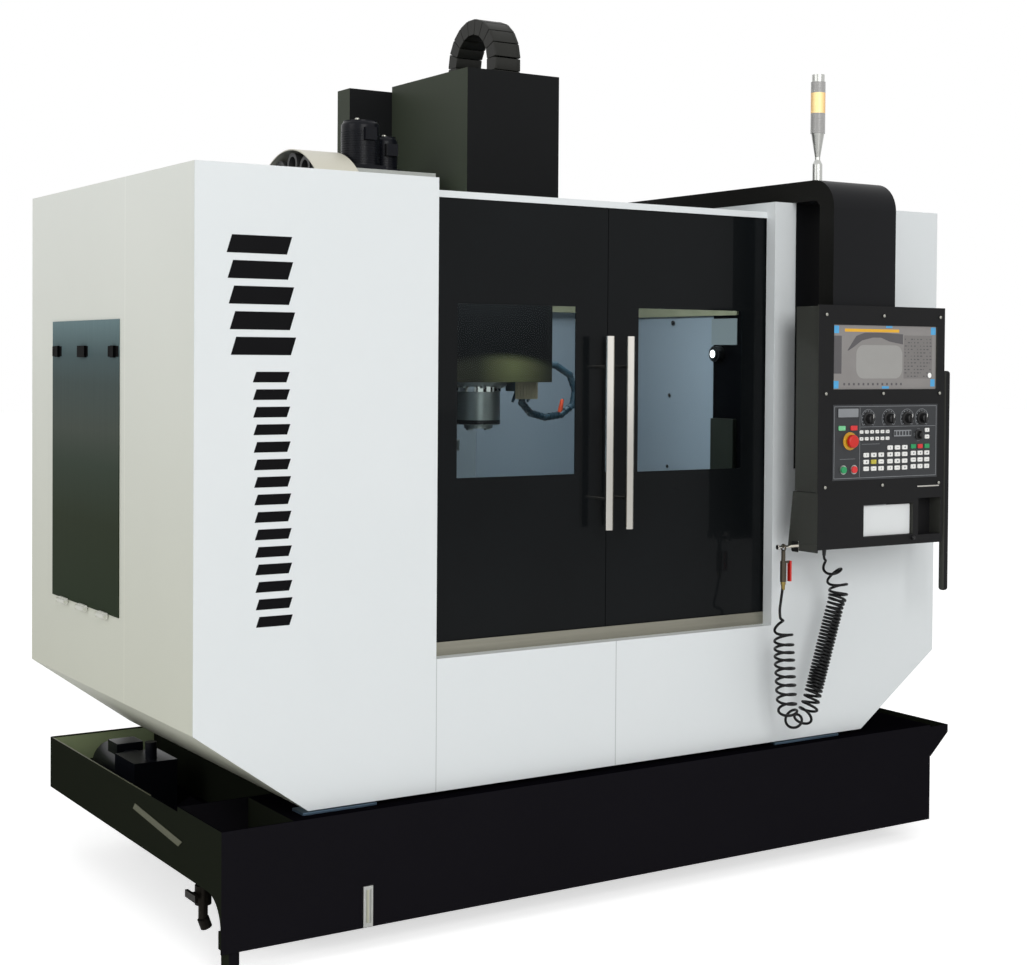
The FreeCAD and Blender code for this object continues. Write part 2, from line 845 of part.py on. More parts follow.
def base_casting():
    """Cast bed, open underneath between its ribs, with six feet."""
    x, y, z = (-base_x, base_x), (base_front, base_back), (base_bottom, base_top)
    body = box(x, y, z)
    bay = (base_back - base_front - casting_wall) / base_bays
    ceiling = base_top - drive_pocket - casting_wall
    tools = []
    for i in range(base_bays):
        start = base_front + casting_wall + i * bay
        tools.append(box((-base_x + casting_wall, base_x - casting_wall),
                         (start, start + bay - casting_wall), (base_bottom - over, ceiling)))
    tools.append(box((-motor_size / 2 - gap, motor_size / 2 + gap),
                     (column_front, column_front + motor_length + 2 * gap),
                     (base_top - drive_pocket, base_top + over)))
    solids = [cut(body, tools)]
    solids.append(box((-y_bellows_width / 2, y_bellows_width / 2),
                      (base_front, base_front + casting_wall),
                      (base_top, y_bellows_top)))
    holes = []
    for y in foot_rows:
        for side in (-1, 1):
            edge = sorted((side * base_x, side * (base_x + foot_reach)))
            solids.append(box(edge, (y - foot_inset, y + foot_inset),
                              (base_bottom, base_bottom + foot_height)))
            holes.append(rod((side * foot_x, y, 0), Z_AXIS, foot_hole_radius, base_top / 2))
    return cut(fuse(solids), holes)


def levelling_pads():
    """Six floor pads, each with its screw and the nut that the bed stands on."""
    pads = []
    for y in foot_rows:
        for side in (-1, 1):
            x = side * foot_x
            disc = rod((x, y, 0), Z_AXIS, pad_radius, pad_height)
            screw = rod((x, y, pad_height), Z_AXIS, foot_hole_radius - over,
                        base_bottom + foot_height)
            nut = rod((x, y, pad_height), Z_AXIS, 2 * foot_hole_radius, base_bottom - pad_height)
            pads.append(fuse([disc, screw, nut]))
    return Part.makeCompound(pads)


def chain_bracket():
    """Bracket on the column's top that holds the fixed end of the cable chain."""
    margin = chain_slot_margin
    x = (chain_left + margin, chain_left + chain_width - margin)
    low = chain_bracket_top - chain_bracket_thickness
    back = column_front + chain_slot_margin + chain_bracket_post
    plate = box(x, (chain_back - chain_thickness, back), (low, chain_bracket_top))
    post = box(x, (back - chain_bracket_post, back), (column_top, low))
    return fuse([plate, post])


def column_casting():
    """Hollow cast column with an arch over the Y motor, an open back and the chain's bracket."""
    wall = column_wall
    margin = column_back_margin
    body = box((-column_x, column_x), (column_front, column_back), (base_top, column_top))
    void = box((-column_x + wall, column_x - wall), (column_front + wall, column_back - wall),
               (base_top + 2 * wall, column_top - wall))
    back = box((-column_x + margin, column_x - margin), (column_back - 2 * wall, column_back + over),
               (base_top + column_back_low, column_top - margin))
    arch = box((-column_arch_width / 2, column_arch_width / 2),
               (column_front - over, column_front + motor_length + wall),
               (base_top - over, y_screw_z + column_arch_height))
    return cut(fuse([body, chain_bracket()]), [void, back, arch])


z_rail_front = column_front - rail_size
z_rail_bottom = head_bottom - z_travel_down - truck_length
z_rail_top = column_top - rail_end


def linear_guides():
    """Two rails on the bed and two on the column."""
    half = rail_size / 2
    rails = []
    for side in (-1, 1):
        x = side * y_rail_spread / 2
        rails.append(box((x - half, x + half),
                         (base_front + casting_wall + rail_end, column_front - rail_end),
                         (base_top, base_top + rail_size)))
        x = side * z_rail_spread / 2
        rails.append(box((x - half, x + half), (z_rail_front, column_front),
                         (z_rail_bottom, z_rail_top)))
    return Part.makeCompound(rails)


z_screw_y = z_rail_front + rail_size / 3


def axis_drives():
    """Motor and screw of the Y axis, of the Z axis, and the auger's motor."""
    half = motor_size / 2
    y_motor = box((-half, half), (column_front + gap, column_front + gap + motor_length),
                  (y_screw_z - half, y_screw_z + half))
    y_screw = rod((0, base_front + casting_wall, y_screw_z), Y_AXIS, screw_radius,
                  column_front + gap - base_front - casting_wall)
    plate_top = column_top + drive_plate
    plate = box((-half, half), (z_screw_y - half, column_front + motor_length),
                (column_top, plate_top))
    z_motor = box((-half, half), (z_screw_y - half, z_screw_y + half),
                  (plate_top, plate_top + motor_length))
    z_screw = rod((0, z_screw_y, z_rail_bottom), Z_AXIS, screw_radius,
                  column_top - z_rail_bottom)
    auger_motor = rod((guard_half_width, auger_y, auger_z), X_AXIS, auger_motor_radius, motor_length)
    return Part.makeCompound([fuse([y_motor, y_screw]), fuse([plate, z_motor, z_screw]),
                              auger_motor])


# ================================================================ saddle and table
saddle_front = spindle_y - saddle_depth / 2
saddle_back = spindle_y + saddle_depth / 2
saddle_bottom = base_top + rail_size + 1
saddle_top = saddle_bottom + saddle_thickness
x_screw_z = saddle_top + x_screw_lift
table_bottom = table_top - table_thickness
y_bellows_bottom = base_top + y_bellows_lift
y_bellows_top = y_bellows_bottom + y_bellows_height


def trucks(centres, x_size, y_size, z):
    """Carriage blocks around rails."""
    return [box((x - x_size / 2, x + x_size / 2), (y - y_size / 2, y + y_size / 2), z)
            for x, y in centres]


def saddle():
    """Saddle with its trucks and nut below, and the X rails, screw and motor above."""
    half = rail_size / 2
    length = saddle_length / 2
    slab = box((-length, length), (saddle_front, saddle_back), (saddle_bottom, saddle_top))
    centres = [(side * y_rail_spread / 2, y) for side in (-1, 1)
               for y in (saddle_front + truck_length / 2, saddle_back - truck_length / 2)]
    blocks = trucks(centres, truck_width, truck_length, (base_top + truck_clear, saddle_bottom))
    nut = box((-screw_nut_radius, screw_nut_radius),
              (spindle_y - screw_nut_radius, spindle_y + screw_nut_radius),
              (base_top + gap, saddle_bottom))
    grooves = [box((x - half - gap, x + half + gap), (saddle_front - over, saddle_back + over),
                   (base_top - over, base_top + rail_size + gap))
               for x in (-y_rail_spread / 2, y_rail_spread / 2)]
    bore = rod((0, saddle_front - over, y_screw_z), Y_AXIS, screw_radius + running,
               saddle_depth + 2 * over)
    body = cut(fuse([slab, nut] + blocks), grooves + [bore])
    rails = [box((-length + over, length - over), (y - half, y + half),
                 (saddle_top, saddle_top + rail_size))
             for y in (spindle_y - x_rail_spread / 2, spindle_y + x_rail_spread / 2)]
    carrier_top = table_bottom - step_gap
    bearing = box((-length, -length + casting_wall),
                  (spindle_y - x_bearing_width / 2, spindle_y + x_bearing_width / 2),
                  (saddle_top, carrier_top))
    screw = rod((-length, spindle_y, x_screw_z), X_AXIS, x_screw_radius, saddle_length)
    motor = box((-length - motor_length, -length),
                (spindle_y - x_motor_size / 2, spindle_y + x_motor_size / 2),
                (carrier_top - x_motor_size, carrier_top))
    return fuse([body, bearing, screw, motor] + rails)


def work_table():
    """Table with T-slots along X, four trucks and a nut block."""
    length = table_length / 2
    front = spindle_y - table_depth / 2
    slab = box((-length, length), (front, front + table_depth), (table_bottom, table_top))
    slots = []
    first = spindle_y - slot_pitch * (slot_count - 1) / 2
    for i in range(slot_count):
        y = first + i * slot_pitch
        neck_floor = table_top - slot_neck_depth
        slots.append(box((-length - over, length + over), (y - slot_width / 2, y + slot_width / 2),
                         (neck_floor, table_top + over)))
        slots.append(box((-length - over, length + over),
                         (y - slot_foot_width / 2, y + slot_foot_width / 2),
                         (neck_floor - slot_foot_height, neck_floor)))
    centres = [(x, spindle_y + side * x_rail_spread / 2) for side in (-1, 1)
               for x in (-length / 4, length / 4)]
    blocks = trucks(centres, truck_length, truck_width, (saddle_top + truck_clear, table_bottom))
    half = rail_size / 2 + gap
    grooves = [box((-length, length), (y - half, y + half),
                   (saddle_top - over, saddle_top + rail_size + gap))
               for y in (spindle_y - x_rail_spread / 2, spindle_y + x_rail_spread / 2)]
    nut = box((-x_nut_radius, x_nut_radius), (spindle_y - x_nut_radius, spindle_y + x_nut_radius),
              (saddle_top + gap, table_bottom))
    bore = rod((-length, spindle_y, x_screw_z), X_AXIS, x_screw_radius + running, table_length)
    body = fuse([cut(slab, slots)] + blocks + [nut])
    return cut(body, grooves + [bore])


def zigzag(start, end, low, high, folds):
    """Outline of a folded bellows between start and end, in plane coordinates."""
    step = (end - start) / (2 * folds)
    ridge = [(start + i * step, high if i % 2 else low) for i in range(2 * folds + 1)]
    under = [(u, v - bellows_thickness) for u, v in ridge]
    return ridge + under[::-1]


def y_bellows():
    """Folded cover over the Y rails, from the bed's front to the saddle."""
    outline = zigzag(base_front + casting_wall, saddle_front - gap,
                     y_bellows_bottom + bellows_thickness, y_bellows_top, y_bellows_folds)
    return prism(outline, "x", -y_bellows_width / 2, y_bellows_width)


def z_bellows():
    """Folded cover in front of the column, from the bed up to the head."""
    back = z_rail_front - truck_gap - z_bellows_depth
    outline = zigzag(base_top + z_bellows_start, head_bottom - gap, back,
                     back + z_bellows_depth, z_bellows_folds)
    turned = [(v, u) for u, v in outline]
    return prism(turned, "x", -z_bellows_width / 2, z_bellows_width)


truck_gap = z_rail_front - carriage_back

for piece in (base_casting, levelling_pads, column_casting, linear_guides, axis_drives,
              saddle, work_table, y_bellows, z_bellows):
    parts[piece.__name__] = piece()


# ================================================================ head and spindle
def head_casting():
    """Head with its carriage, the trucks on the column's rails and the nut of the Z screw."""
    half = head_width / 2
    wall = head_wall
    nose = box((-half, half), (head_front, carriage_front), (head_bottom, head_top))
    back = box((-carriage_width / 2, carriage_width / 2), (carriage_front, carriage_back),
               (head_bottom, carriage_top))
    side = rail_size / 2
    centres = (-z_rail_spread / 2, z_rail_spread / 2)
    blocks = []
    for z in (head_bottom + gap, carriage_top - truck_length):
        blocks += [box((x - truck_width / 2, x + truck_width / 2),
                       (carriage_back, column_front - rail_end),
                       (z, z + truck_length)) for x in centres]
    grooves = [box((x - side - gap, x + side + gap), (z_rail_front - gap, column_front + over),
                   (head_bottom - over, carriage_top + over)) for x in centres]
    nut_bottom = head_top - z_nut_drop
    nut = box((-screw_nut_radius, screw_nut_radius), (carriage_back, column_front - sheet),
              (nut_bottom, nut_bottom + z_nut_length))
    bore = rod((0, z_screw_y, head_bottom - over), Z_AXIS, screw_radius + running, head_top)
    seat = rod((0, spindle_y, head_bottom - over), Z_AXIS, cartridge_radius + gap,
               spindle_nose + spindle_length + head_room - head_bottom)
    void = box((-half + wall, half - wall), (head_front + wall, carriage_front - wall),
               (spindle_nose + spindle_length + 2 * wall, head_top - wall))
    return cut(fuse([nose, back, nut] + blocks), grooves + [bore, seat, void])


chain_right = chain_left + chain_width


def head_cover():
    """Black sheet cover of the spindle motor, with its wide back part and the chain's slot."""
    half = cover_width / 2
    wide = wide_cover_width / 2
    wide_back = carriage_front + wide_cover_depth
    main = hollow((-half, half), (cover_front, carriage_front), (head_top, cover_top), sheet,
                  ("bottom", "back"))
    broad = hollow((-wide, wide), (carriage_front, wide_back),
                   (wide_cover_bottom, wide_cover_top), sheet, ("bottom", "back"))
    passage = box((-half + sheet, half - sheet),
                  (carriage_front - over, carriage_front + sheet + over),
                  (wide_cover_bottom - over, wide_cover_top - sheet))
    slot = box((chain_left - chain_slot_margin, half - sheet),
               (chain_back - chain_thickness - chain_slot_margin, wide_back + over),
               (wide_cover_top - 2 * sheet, cover_top + over))
    floor = box((-half, half), (cover_front, head_front - gap), (head_top, head_top + sheet))
    seat = box((chain_left, chain_right), (chain_front, chain_front + chain_thickness),
               (cover_top, cover_top + sheet))
    return cut(fuse([main, broad, floor, seat]), [passage, slot])


def spindle_cartridge():
    """Ground steel cartridge with its bolted flange."""
    top = spindle_nose + spindle_length + cartridge_end
    flange_bottom = head_bottom - cartridge_flange
    barrel = rod((0, spindle_y, cartridge_bottom), Z_AXIS, cartridge_radius, top - cartridge_bottom)
    plate = rod((0, spindle_y, flange_bottom), Z_AXIS, cartridge_flange_radius, cartridge_flange)
    solids = [barrel, plate]
    bolt_circle = (cartridge_radius + cartridge_flange_radius) / 2
    for i in range(cartridge_bolts):
        angle = 2 * math.pi * (i + 0.5) / cartridge_bolts
        x, y = bolt_circle * math.cos(angle), spindle_y + bolt_circle * math.sin(angle)
        solids.append(rod((x, y, flange_bottom - cartridge_bolt_height), Z_AXIS,
                          cartridge_bolt_radius, cartridge_bolt_height + over))
    bore = rod((0, spindle_y, cartridge_bottom - over), Z_AXIS, spindle_radius + running,
               top - cartridge_bottom + 2 * over)
    return fuse(solids).cut(bore)


def spindle():
    """Turning spindle with its taper and two drive keys."""
    shaft = rod((0, spindle_y, spindle_nose), Z_AXIS, spindle_radius, spindle_length)
    taper = Part.makeCone(taper_mouth_radius, taper_end_radius, taper_length,
                          V(0, spindle_y, spindle_nose), Z_AXIS)
    drawbar = rod((0, spindle_y, spindle_nose), Z_AXIS, taper_end_radius - sheet,
                  spindle_length - casting_wall)
    half = drive_key_width / 2
    keys = [box((side * drive_key_offset - half, side * drive_key_offset + half),
                (spindle_y - half, spindle_y + half),
                (spindle_nose - drive_key_height, spindle_nose)) for side in (-1, 1)]
    return fuse([cut(shaft, [taper, drawbar])] + keys)


def spindle_motor():
    """Spindle motor standing on the head, inside its cover."""
    can = rod((0, spindle_y, head_top), Z_AXIS, spindle_motor_radius, spindle_motor_height)
    half = spindle_motor_radius + motor_plate_margin
    plate = box((-half, half), (spindle_y - half, spindle_y + half),
                (head_top, head_top + motor_plate_thickness))
    return fuse([can, plate])


def bead_chain(route, wide, narrow, pitch):
    """Ball-jointed hose along a route: cones in a row, with a ball at every point."""
    solids = []
    for a, b in zip(route[:-1], route[1:]):
        along = b - a
        beads = max(1, round(along.Length / pitch))
        for i in range(beads):
            solids.append(Part.makeCone(wide, narrow, along.Length / beads,
                                        a + along * (i / beads), along))
        solids.append(Part.makeSphere(wide, b))
    return solids


def coolant_nozzle():
    """Coolant manifold under the head with three nozzles, and its hose round to the head's side."""
    low = head_bottom - nozzle_block_height
    manifold = box(nozzle_block_x, (nozzle_y - nozzle_block_depth / 2,
                                    nozzle_y + nozzle_block_depth / 2), (low, head_bottom))
    solids = [manifold]
    step = (nozzle_block_x[1] - nozzle_block_x[0]) / nozzle_count
    for i in range(nozzle_count):
        foot = V(nozzle_block_x[0] + (i + 0.5) * step, nozzle_y - nozzle_block_depth / 3,
                 low + nozzle_root_depth)
        solids.append(Part.makeCone(nozzle_root, nozzle_mouth, nozzle_length, foot, V(*nozzle_aim)))
    first = V(coolant_route[0][0], nozzle_y, low + nozzle_root_depth)
    route = [first] + [V(x, nozzle_y, z) for x, z in coolant_route]
    last = route[-1]
    flange = rod((head_width / 2, nozzle_y, last.z), X_AXIS, hose_bead * 1.5,
                 last.x - head_width / 2)
    foot = V(hose_valve[0], nozzle_y, hose_valve[1])
    lever = Part.makeCone(hose_neck / 2, hose_neck / 3, hose_valve_lever, foot, V(*hose_valve_aim))
    return fuse(solids + [flange, lever] + bead_chain(route, hose_bead, hose_neck, hose_pitch))


def half_ring(span, outer, inner):
    """Upper half of a ring along X, around the middle of the chain's bend."""
    centre_y, centre_z = chain_front + chain_outer_radius, chain_top - chain_outer_radius
    ring = rod((span[0], centre_y, centre_z), X_AXIS, outer, span[1] - span[0])
    ring = ring.cut(rod((span[0] - over, centre_y, centre_z), X_AXIS, inner,
                        span[1] - span[0] + 2 * over))
    lower = box((span[0] - over, span[1] + over), (centre_y - 2 * outer, centre_y + 2 * outer),
                (centre_z - 2 * outer, centre_z))
    return ring.cut(lower)


def cable_chain():
    """Cable chain bent over in an arch: links on a slimmer core."""
    x = (chain_left, chain_right)
    inset, half_gap = chain_core_inset, chain_link_gap / 2
    core_x = (x[0] + inset, x[1] - inset)
    centre_y = chain_front + chain_outer_radius
    centre_z = chain_top - chain_outer_radius
    inner = chain_outer_radius - chain_thickness
    half_link = chain_link_pitch / 2 - half_gap
    solids = [half_ring(core_x, chain_outer_radius - inset, inner + inset)]
    for i in range(chain_links_in_arch):
        link = box(x, (inner, chain_outer_radius), (-half_link, half_link))
        link.rotate(V(0, 0, 0), X_AXIS, 180 * (i + 0.5) / chain_links_in_arch)
        link.translate(V(0, centre_y, centre_z))
        solids.append(link)
    for start, low in ((chain_front, cover_top + sheet + gap),
                       (chain_back - chain_thickness, chain_bracket_top)):
        solids.append(box(core_x, (start + inset, start + chain_thickness - inset),
                          (low, centre_z)))
        count = int((centre_z - low) / chain_link_pitch)
        pitch = (centre_z - low) / count
        for i in range(count):
            solids.append(box(x, (start, start + chain_thickness),
                              (low + i * pitch + (half_gap if i else 0),
                               low + (i + 1) * pitch - half_gap)))
    return fuse(solids)


for piece in (head_casting, head_cover, spindle_cartridge, spindle, spindle_motor,
              coolant_nozzle, cable_chain):
    parts[piece.__name__] = piece()


# ================================================================ tool changer
magazine_right = magazine_left + magazine_width
gearbox_front = spindle_y - gearbox_depth / 2
gearbox_back = spindle_y + gearbox_depth / 2
pot_circle = magazine_radius - pot_edge
disc_left = magazine_left + disc_inset


def magazine_cover():
    """Drum-shaped cover, open on its left, with the stub that carries the magazine."""
    drum = rod((magazine_left, spindle_y, magazine_height), X_AXIS, magazine_radius, magazine_width)
    void = rod((magazine_left - over, spindle_y, magazine_height), X_AXIS,
               magazine_radius - sheet, magazine_width - sheet + over)
    drum_bottom = magazine_height - magazine_radius
    gate = box((magazine_left - over, magazine_right - 2 * sheet),
               (spindle_y - gate_width / 2, spindle_y + gate_width / 2),
               (drum_bottom - over, drum_bottom + gate_height))
    stub = rod((magazine_left + stub_inset, spindle_y, magazine_height), X_AXIS, bearing_radius,
               magazine_width - stub_inset)
    half = magazine_link / 2
    link = box((magazine_right, gearbox_left), (spindle_y - half, spindle_y + half),
               (magazine_height - half, magazine_height + half))
    return fuse([cut(drum, [void, gate]), stub, link])


def pot_place(number, x):
    """Middle of a tool pot at a given X."""
    angle = 2 * math.pi * number / magazine_pots
    return (x, spindle_y + pot_circle * math.sin(angle),
            magazine_height - pot_circle * math.cos(angle))


def magazine_disc():
    """Turning disc with a ring of tool pots."""
    disc = rod((disc_left, spindle_y, magazine_height), X_AXIS, pot_circle + disc_rim,
               disc_thickness)
    pots = [rod(pot_place(i, disc_left - pot_lead), X_AXIS, pot_radius, pot_length)
            for i in range(magazine_pots)]
    mouths = [rod(pot_place(i, disc_left - pot_lead - over), X_AXIS, taper_mouth_radius,
                  taper_length) for i in range(magazine_pots)]
    bore = rod((magazine_left, spindle_y, magazine_height), X_AXIS, bearing_radius + running,
               magazine_width)
    hub = rod((disc_left, spindle_y, magazine_height), X_AXIS, 2 * bearing_radius, hub_length)
    return cut(fuse([disc, hub] + pots), mouths + [bore])


def atc_gearbox():
    """Gearbox of the changer arm, with the bracket that ties it to the column's side."""
    case = box((gearbox_left, gearbox_right), (gearbox_front, gearbox_back),
               (gearbox_bottom, gearbox_top))
    bracket_right = -wide_cover_width / 2 - bracket_step
    bracket_back = column_front + bracket_depth
    z = (gearbox_bottom, gearbox_bottom + bracket_height)
    arm = box((gearbox_left, bracket_right), (gearbox_back, bracket_back), z)
    pad = box((bracket_right, -column_x), (column_front + bracket_pad_start, bracket_back), z)
    sleeve = rod((changer_x, spindle_y, gearbox_bottom - changer_sleeve), Z_AXIS,
                 changer_sleeve_radius, changer_sleeve + over)
    bore = rod((changer_x, spindle_y, gearbox_bottom - changer_sleeve - over), Z_AXIS,
               bearing_radius + running, changer_sleeve + changer_shaft_depth + 20 * over)
    return cut(fuse([case, arm, pad, sleeve]), [bore])


def atc_motors():
    """Two small motors standing on the gearbox, each with its end cap and terminal box."""
    solids = []
    for from_left, from_plane, radius, height in atc_motor_sizes:
        x, y, top = gearbox_left + from_left, spindle_y + from_plane, gearbox_top + height
        can = rod((x, y, gearbox_top), Z_AXIS, radius, height - atc_cap_height)
        cap = rod((x, y, top - atc_cap_height), Z_AXIS, radius - atc_cap_inset, atc_cap_height)
        foot = box((x - radius, x + radius), (y - radius, y + radius),
                   (gearbox_top, gearbox_top + atc_foot_height))
        socket = box((x - socket_width / 2, x + socket_width / 2), (y - radius - socket_reach, y),
                     (top - socket_bottom, top - socket_top))
        solids.append(fuse([can, cap, foot, socket]))
    return Part.makeCompound(solids)


def atc_arm():
    """Double-ended changer arm on its shaft, parked square to the head."""
    reach = abs(changer_x)
    low, top = changer_arm_bottom, changer_arm_bottom + changer_arm_thickness
    shaft = rod((changer_x, spindle_y, low), Z_AXIS, bearing_radius,
                gearbox_bottom + changer_shaft_depth - low)
    hub = rod((changer_x, spindle_y, low), Z_AXIS, changer_hub_radius, changer_arm_thickness)
    half = changer_bar_width / 2
    bar = box((changer_x - half, changer_x + half), (spindle_y - reach, spindle_y + reach),
              (low, top))
    solids = [shaft, hub, bar]
    holes = []
    for side in (-1, 1):
        y = spindle_y + side * reach
        solids.append(rod((changer_x, y, low), Z_AXIS, gripper_radius, changer_arm_thickness))
        holes.append(rod((changer_x, y, low - over), Z_AXIS, gripper_bore_radius,
                         changer_arm_thickness + 2 * over))
        holes.append(box(sorted((changer_x, changer_x + side * gripper_mouth)),
                         (y - gripper_mouth / 2, y + gripper_mouth / 2), (low - over, top + over)))
    return cut(fuse(solids), holes)


# ================================================================ coolant tank
tank_back = tank_front + tank_depth
step_x = tank_left + tank_step


def side_tray(outer, inner):
    """Shallow open tray along the machine's side."""
    return hollow(tuple(sorted((outer, inner))), (tank_back - tank_wall, tray_back),
                  (tray_bottom, tray_top), tank_wall, ("top",))


def tray_flap():
    """Bent strip across the left tray's front corner."""
    points = [(tank_left + tank_wall, tray_bottom + flap_foot),
              (tank_left + flap_width, tray_top - flap_drop)]
    return folded(points, "y", tank_back + flap_start, flap_length, sheet)


def tank_feet():
    """Round feet: one at the left front corner on its pad, the others set back out of sight."""
    radius = tank_foot_radius
    corner_x, corner_y = tank_left + corner_foot_inset, tank_front + tank_wall
    pad = box((corner_x - radius, corner_x + radius), (corner_y, corner_y + 2 * radius),
              (tank_bottom, tank_bottom + 2 * radius))
    row = tank_front + tank_foot_setback
    tray_row = tray_back - tray_foot_setback
    places = [(corner_x, corner_y + radius, tank_bottom),
              (step_x + tank_foot_margin, row, tank_bottom),
              (tank_right - tank_foot_margin, row, tank_bottom),
              (tank_left + tray_width - tank_foot_margin, tray_row, tray_bottom),
              (tank_right - tank_foot_margin, tray_row, tray_bottom)]
    return [pad] + [rod((x, y, 0), Z_AXIS, radius, top + over) for x, y, top in places]


def coolant_tank():
    """Welded tank across the front, shallow at its left end, with a tray along each side."""
    y = (tank_front, tank_back)
    deep = hollow((step_x, tank_right), y, (tank_bottom, tank_top), tank_wall, ("top",))
    shallow = hollow((tank_left, step_x + tank_wall), y, (tray_bottom, tank_top), tank_wall,
                     ("top",))
    lid = box((step_x, tank_right), y, (tank_top - tank_wall, tank_top))
    skirt = box((tank_left, step_x), (tank_front, tank_front + tank_wall),
                (tank_bottom, tray_bottom))
    corner_y = tank_front + tank_wall
    corner = prism([(corner_y, tray_bottom), (corner_y, tray_bottom - skirt_radius),
                    (corner_y + skirt_radius, tray_bottom)], "x", tank_left, tank_wall)
    corner = corner.cut(rod((tank_left - over, corner_y + skirt_radius, tray_bottom - skirt_radius),
                            X_AXIS, skirt_radius, tank_wall + 2 * over))
    flare = folded([(tank_right + flare_reach, flare_top + flare_lip),
                    (tank_right + flare_reach, flare_top), (tank_right, flare_bottom)],
                   "y", tank_front, tray_back - tank_front, tank_wall)
    wedge = [(tank_right, flare_bottom), (tank_right + flare_reach, flare_top),
             (tank_right + flare_reach, flare_top + flare_lip), (tank_right, flare_top + flare_lip)]
    ends = [prism(wedge, "y", start, tank_wall) for start in (tank_front, tray_back - tank_wall)]
    trays = [side_tray(tank_left, tank_left + tray_width),
             side_tray(tank_right, tank_right - tray_width)]
    valve_hole = rod((valve_x, valve_y, tray_bottom - over), Z_AXIS, valve_pipe_radius,
                     tank_wall + 2 * over)
    body = fuse([deep, shallow, lid, skirt, corner, flare] + ends + trays + tank_feet())
    return Part.makeCompound([body.cut(valve_hole), tray_flap()])


valve_x = tank_left + valve_inset
valve_z = tray_bottom - valve_drop


def drain_valve():
    """Ball valve hanging from the shallow end, with its angled outlet."""
    outlet_z = valve_z - valve_outlet
    pipe = rod((valve_x, valve_y, outlet_z), Z_AXIS, valve_pipe_radius,
               tray_bottom + tank_wall - outlet_z)
    body = rod((valve_x, valve_y, valve_z - valve_body_length / 2), Z_AXIS, valve_body_radius,
               valve_body_length)
    elbow = rod((valve_x, valve_y, outlet_z), V(*valve_elbow_aim),
                valve_pipe_radius + valve_elbow_wall, valve_elbow_length)
    seat = rod((valve_x, valve_y, valve_z), V(-1, 0, 0), valve_seat_radius,
               valve_body_radius + valve_seat_reach)
    stem_hole = rod((valve_x - valve_body_radius - valve_seat_reach - over, valve_y, valve_z),
                    X_AXIS, valve_stem_radius + running, valve_stem_hole)
    return fuse([pipe, body, elbow, seat]).cut(stem_hole)


def drain_lever():
    """Butterfly lever of the drain valve on its stem."""
    face = valve_x - valve_body_radius - valve_seat_reach - gap
    start = face - valve_lever_thickness
    stem = rod((start, valve_y, valve_z), X_AXIS, valve_stem_radius, valve_stem_length)
    bar = box((start, face), (valve_y - valve_lever_length / 2, valve_y + valve_lever_length / 2),
              (valve_z - valve_lever_width / 2, valve_z + valve_lever_width / 2))
    return fuse([stem, bar])


def sight_glass():
    """Level glass in its frame on the tank's front."""
    x = (tank_left + sight_left, tank_left + sight_left + sight_width)
    z = (tank_bottom + sight_lift, tank_bottom + sight_lift + sight_height)
    frame = box(x, (tank_front - sight_depth, tank_front), z)
    slot = box((x[0] + sight_rim, x[1] - sight_rim),
               (tank_front - sight_depth - over, tank_front - sight_depth / 2),
               (z[0] + sight_end, z[1] - sight_end))
    tube = rod(((x[0] + x[1]) / 2, tank_front - sight_depth / 2, z[0] + sight_end), Z_AXIS,
               sight_tube_radius, sight_height - 2 * sight_end)
    return fuse([frame.cut(slot), tube])


def coolant_pump():
    """Coolant pump in the left tray: housing, motor, its foot, terminal box and outlet."""
    floor = tray_bottom + tank_wall
    x = tank_left + pump_from_side

    def block(size, start, low):
        width, depth, height = size
        return box((x - width / 2, x + width / 2), (start, start + depth), (low, low + height))

    back = pump_front + pump_housing[1]
    housing = block(pump_housing, pump_front, floor)
    motor = rod((x, back, floor + pump_axis_height), Y_AXIS, pump_motor_radius, pump_motor_length)
    foot = block(pump_foot, back + pump_foot_start, floor)
    terminal = block(pump_terminal, back + pump_terminal_start, floor + pump_terminal_lift)
    outlet = rod((x, pump_front + pump_outlet_start, floor + pump_housing[2]), Z_AXIS,
                 pump_outlet_radius, pump_outlet_length)
    return fuse([housing, motor, foot, terminal, outlet])


# ================================================================ chip auger and its pan
trough_end = guard_half_width - sheet


def chip_pan():
    """Trough of the auger and the two sloping floors beside the bed."""
    inner, outer = trough_radius, trough_radius + sheet
    pan_top = base_top - pan_drop + pan_thickness
    ring = rod((-trough_end, auger_y, auger_z), X_AXIS, outer, 2 * trough_end)
    ring = ring.cut(rod((-trough_end - over, auger_y, auger_z), X_AXIS, inner,
                        2 * (trough_end + over)))
    ring = ring.cut(box((-trough_end - over, trough_end + over), (0, 3 * auger_y),
                        (auger_z, auger_z + 2 * outer)))
    front = box((-trough_end, trough_end), (auger_y - outer, auger_y - inner),
                (auger_z, sill_bottom - sheet))
    ramp = prism([(auger_y + inner, auger_z), (auger_y + outer, auger_z),
                  (base_front, base_top - pan_drop), (base_front, pan_top)],
                 "x", -trough_end, 2 * trough_end)
    ends = []
    for side in (-1, 1):
        edge = sorted((side * trough_end, side * guard_half_width))
        plate = box(edge, (auger_y - outer, base_front), (auger_z - outer, sill_bottom))
        ends.append(plate.cut(rod((edge[0] - over, auger_y, auger_z), X_AXIS,
                                  auger_shaft_radius + running, sheet + 2 * over)))
    floor_points = [(-guard_half_width, sill_bottom), (-base_x, pan_top)]
    left = folded(floor_points, "y", base_front, column_front - base_front)
    left = left.cut(box((-base_x, 0), (0, 2 * column_front), (0, sill_bottom)))
    left = left.cut(box((-2 * half_width, 0), (0, 2 * column_front), (sill_bottom, 2 * sill_bottom)))
    return fuse([ring, front, ramp, left, mirrored(left)] + ends)


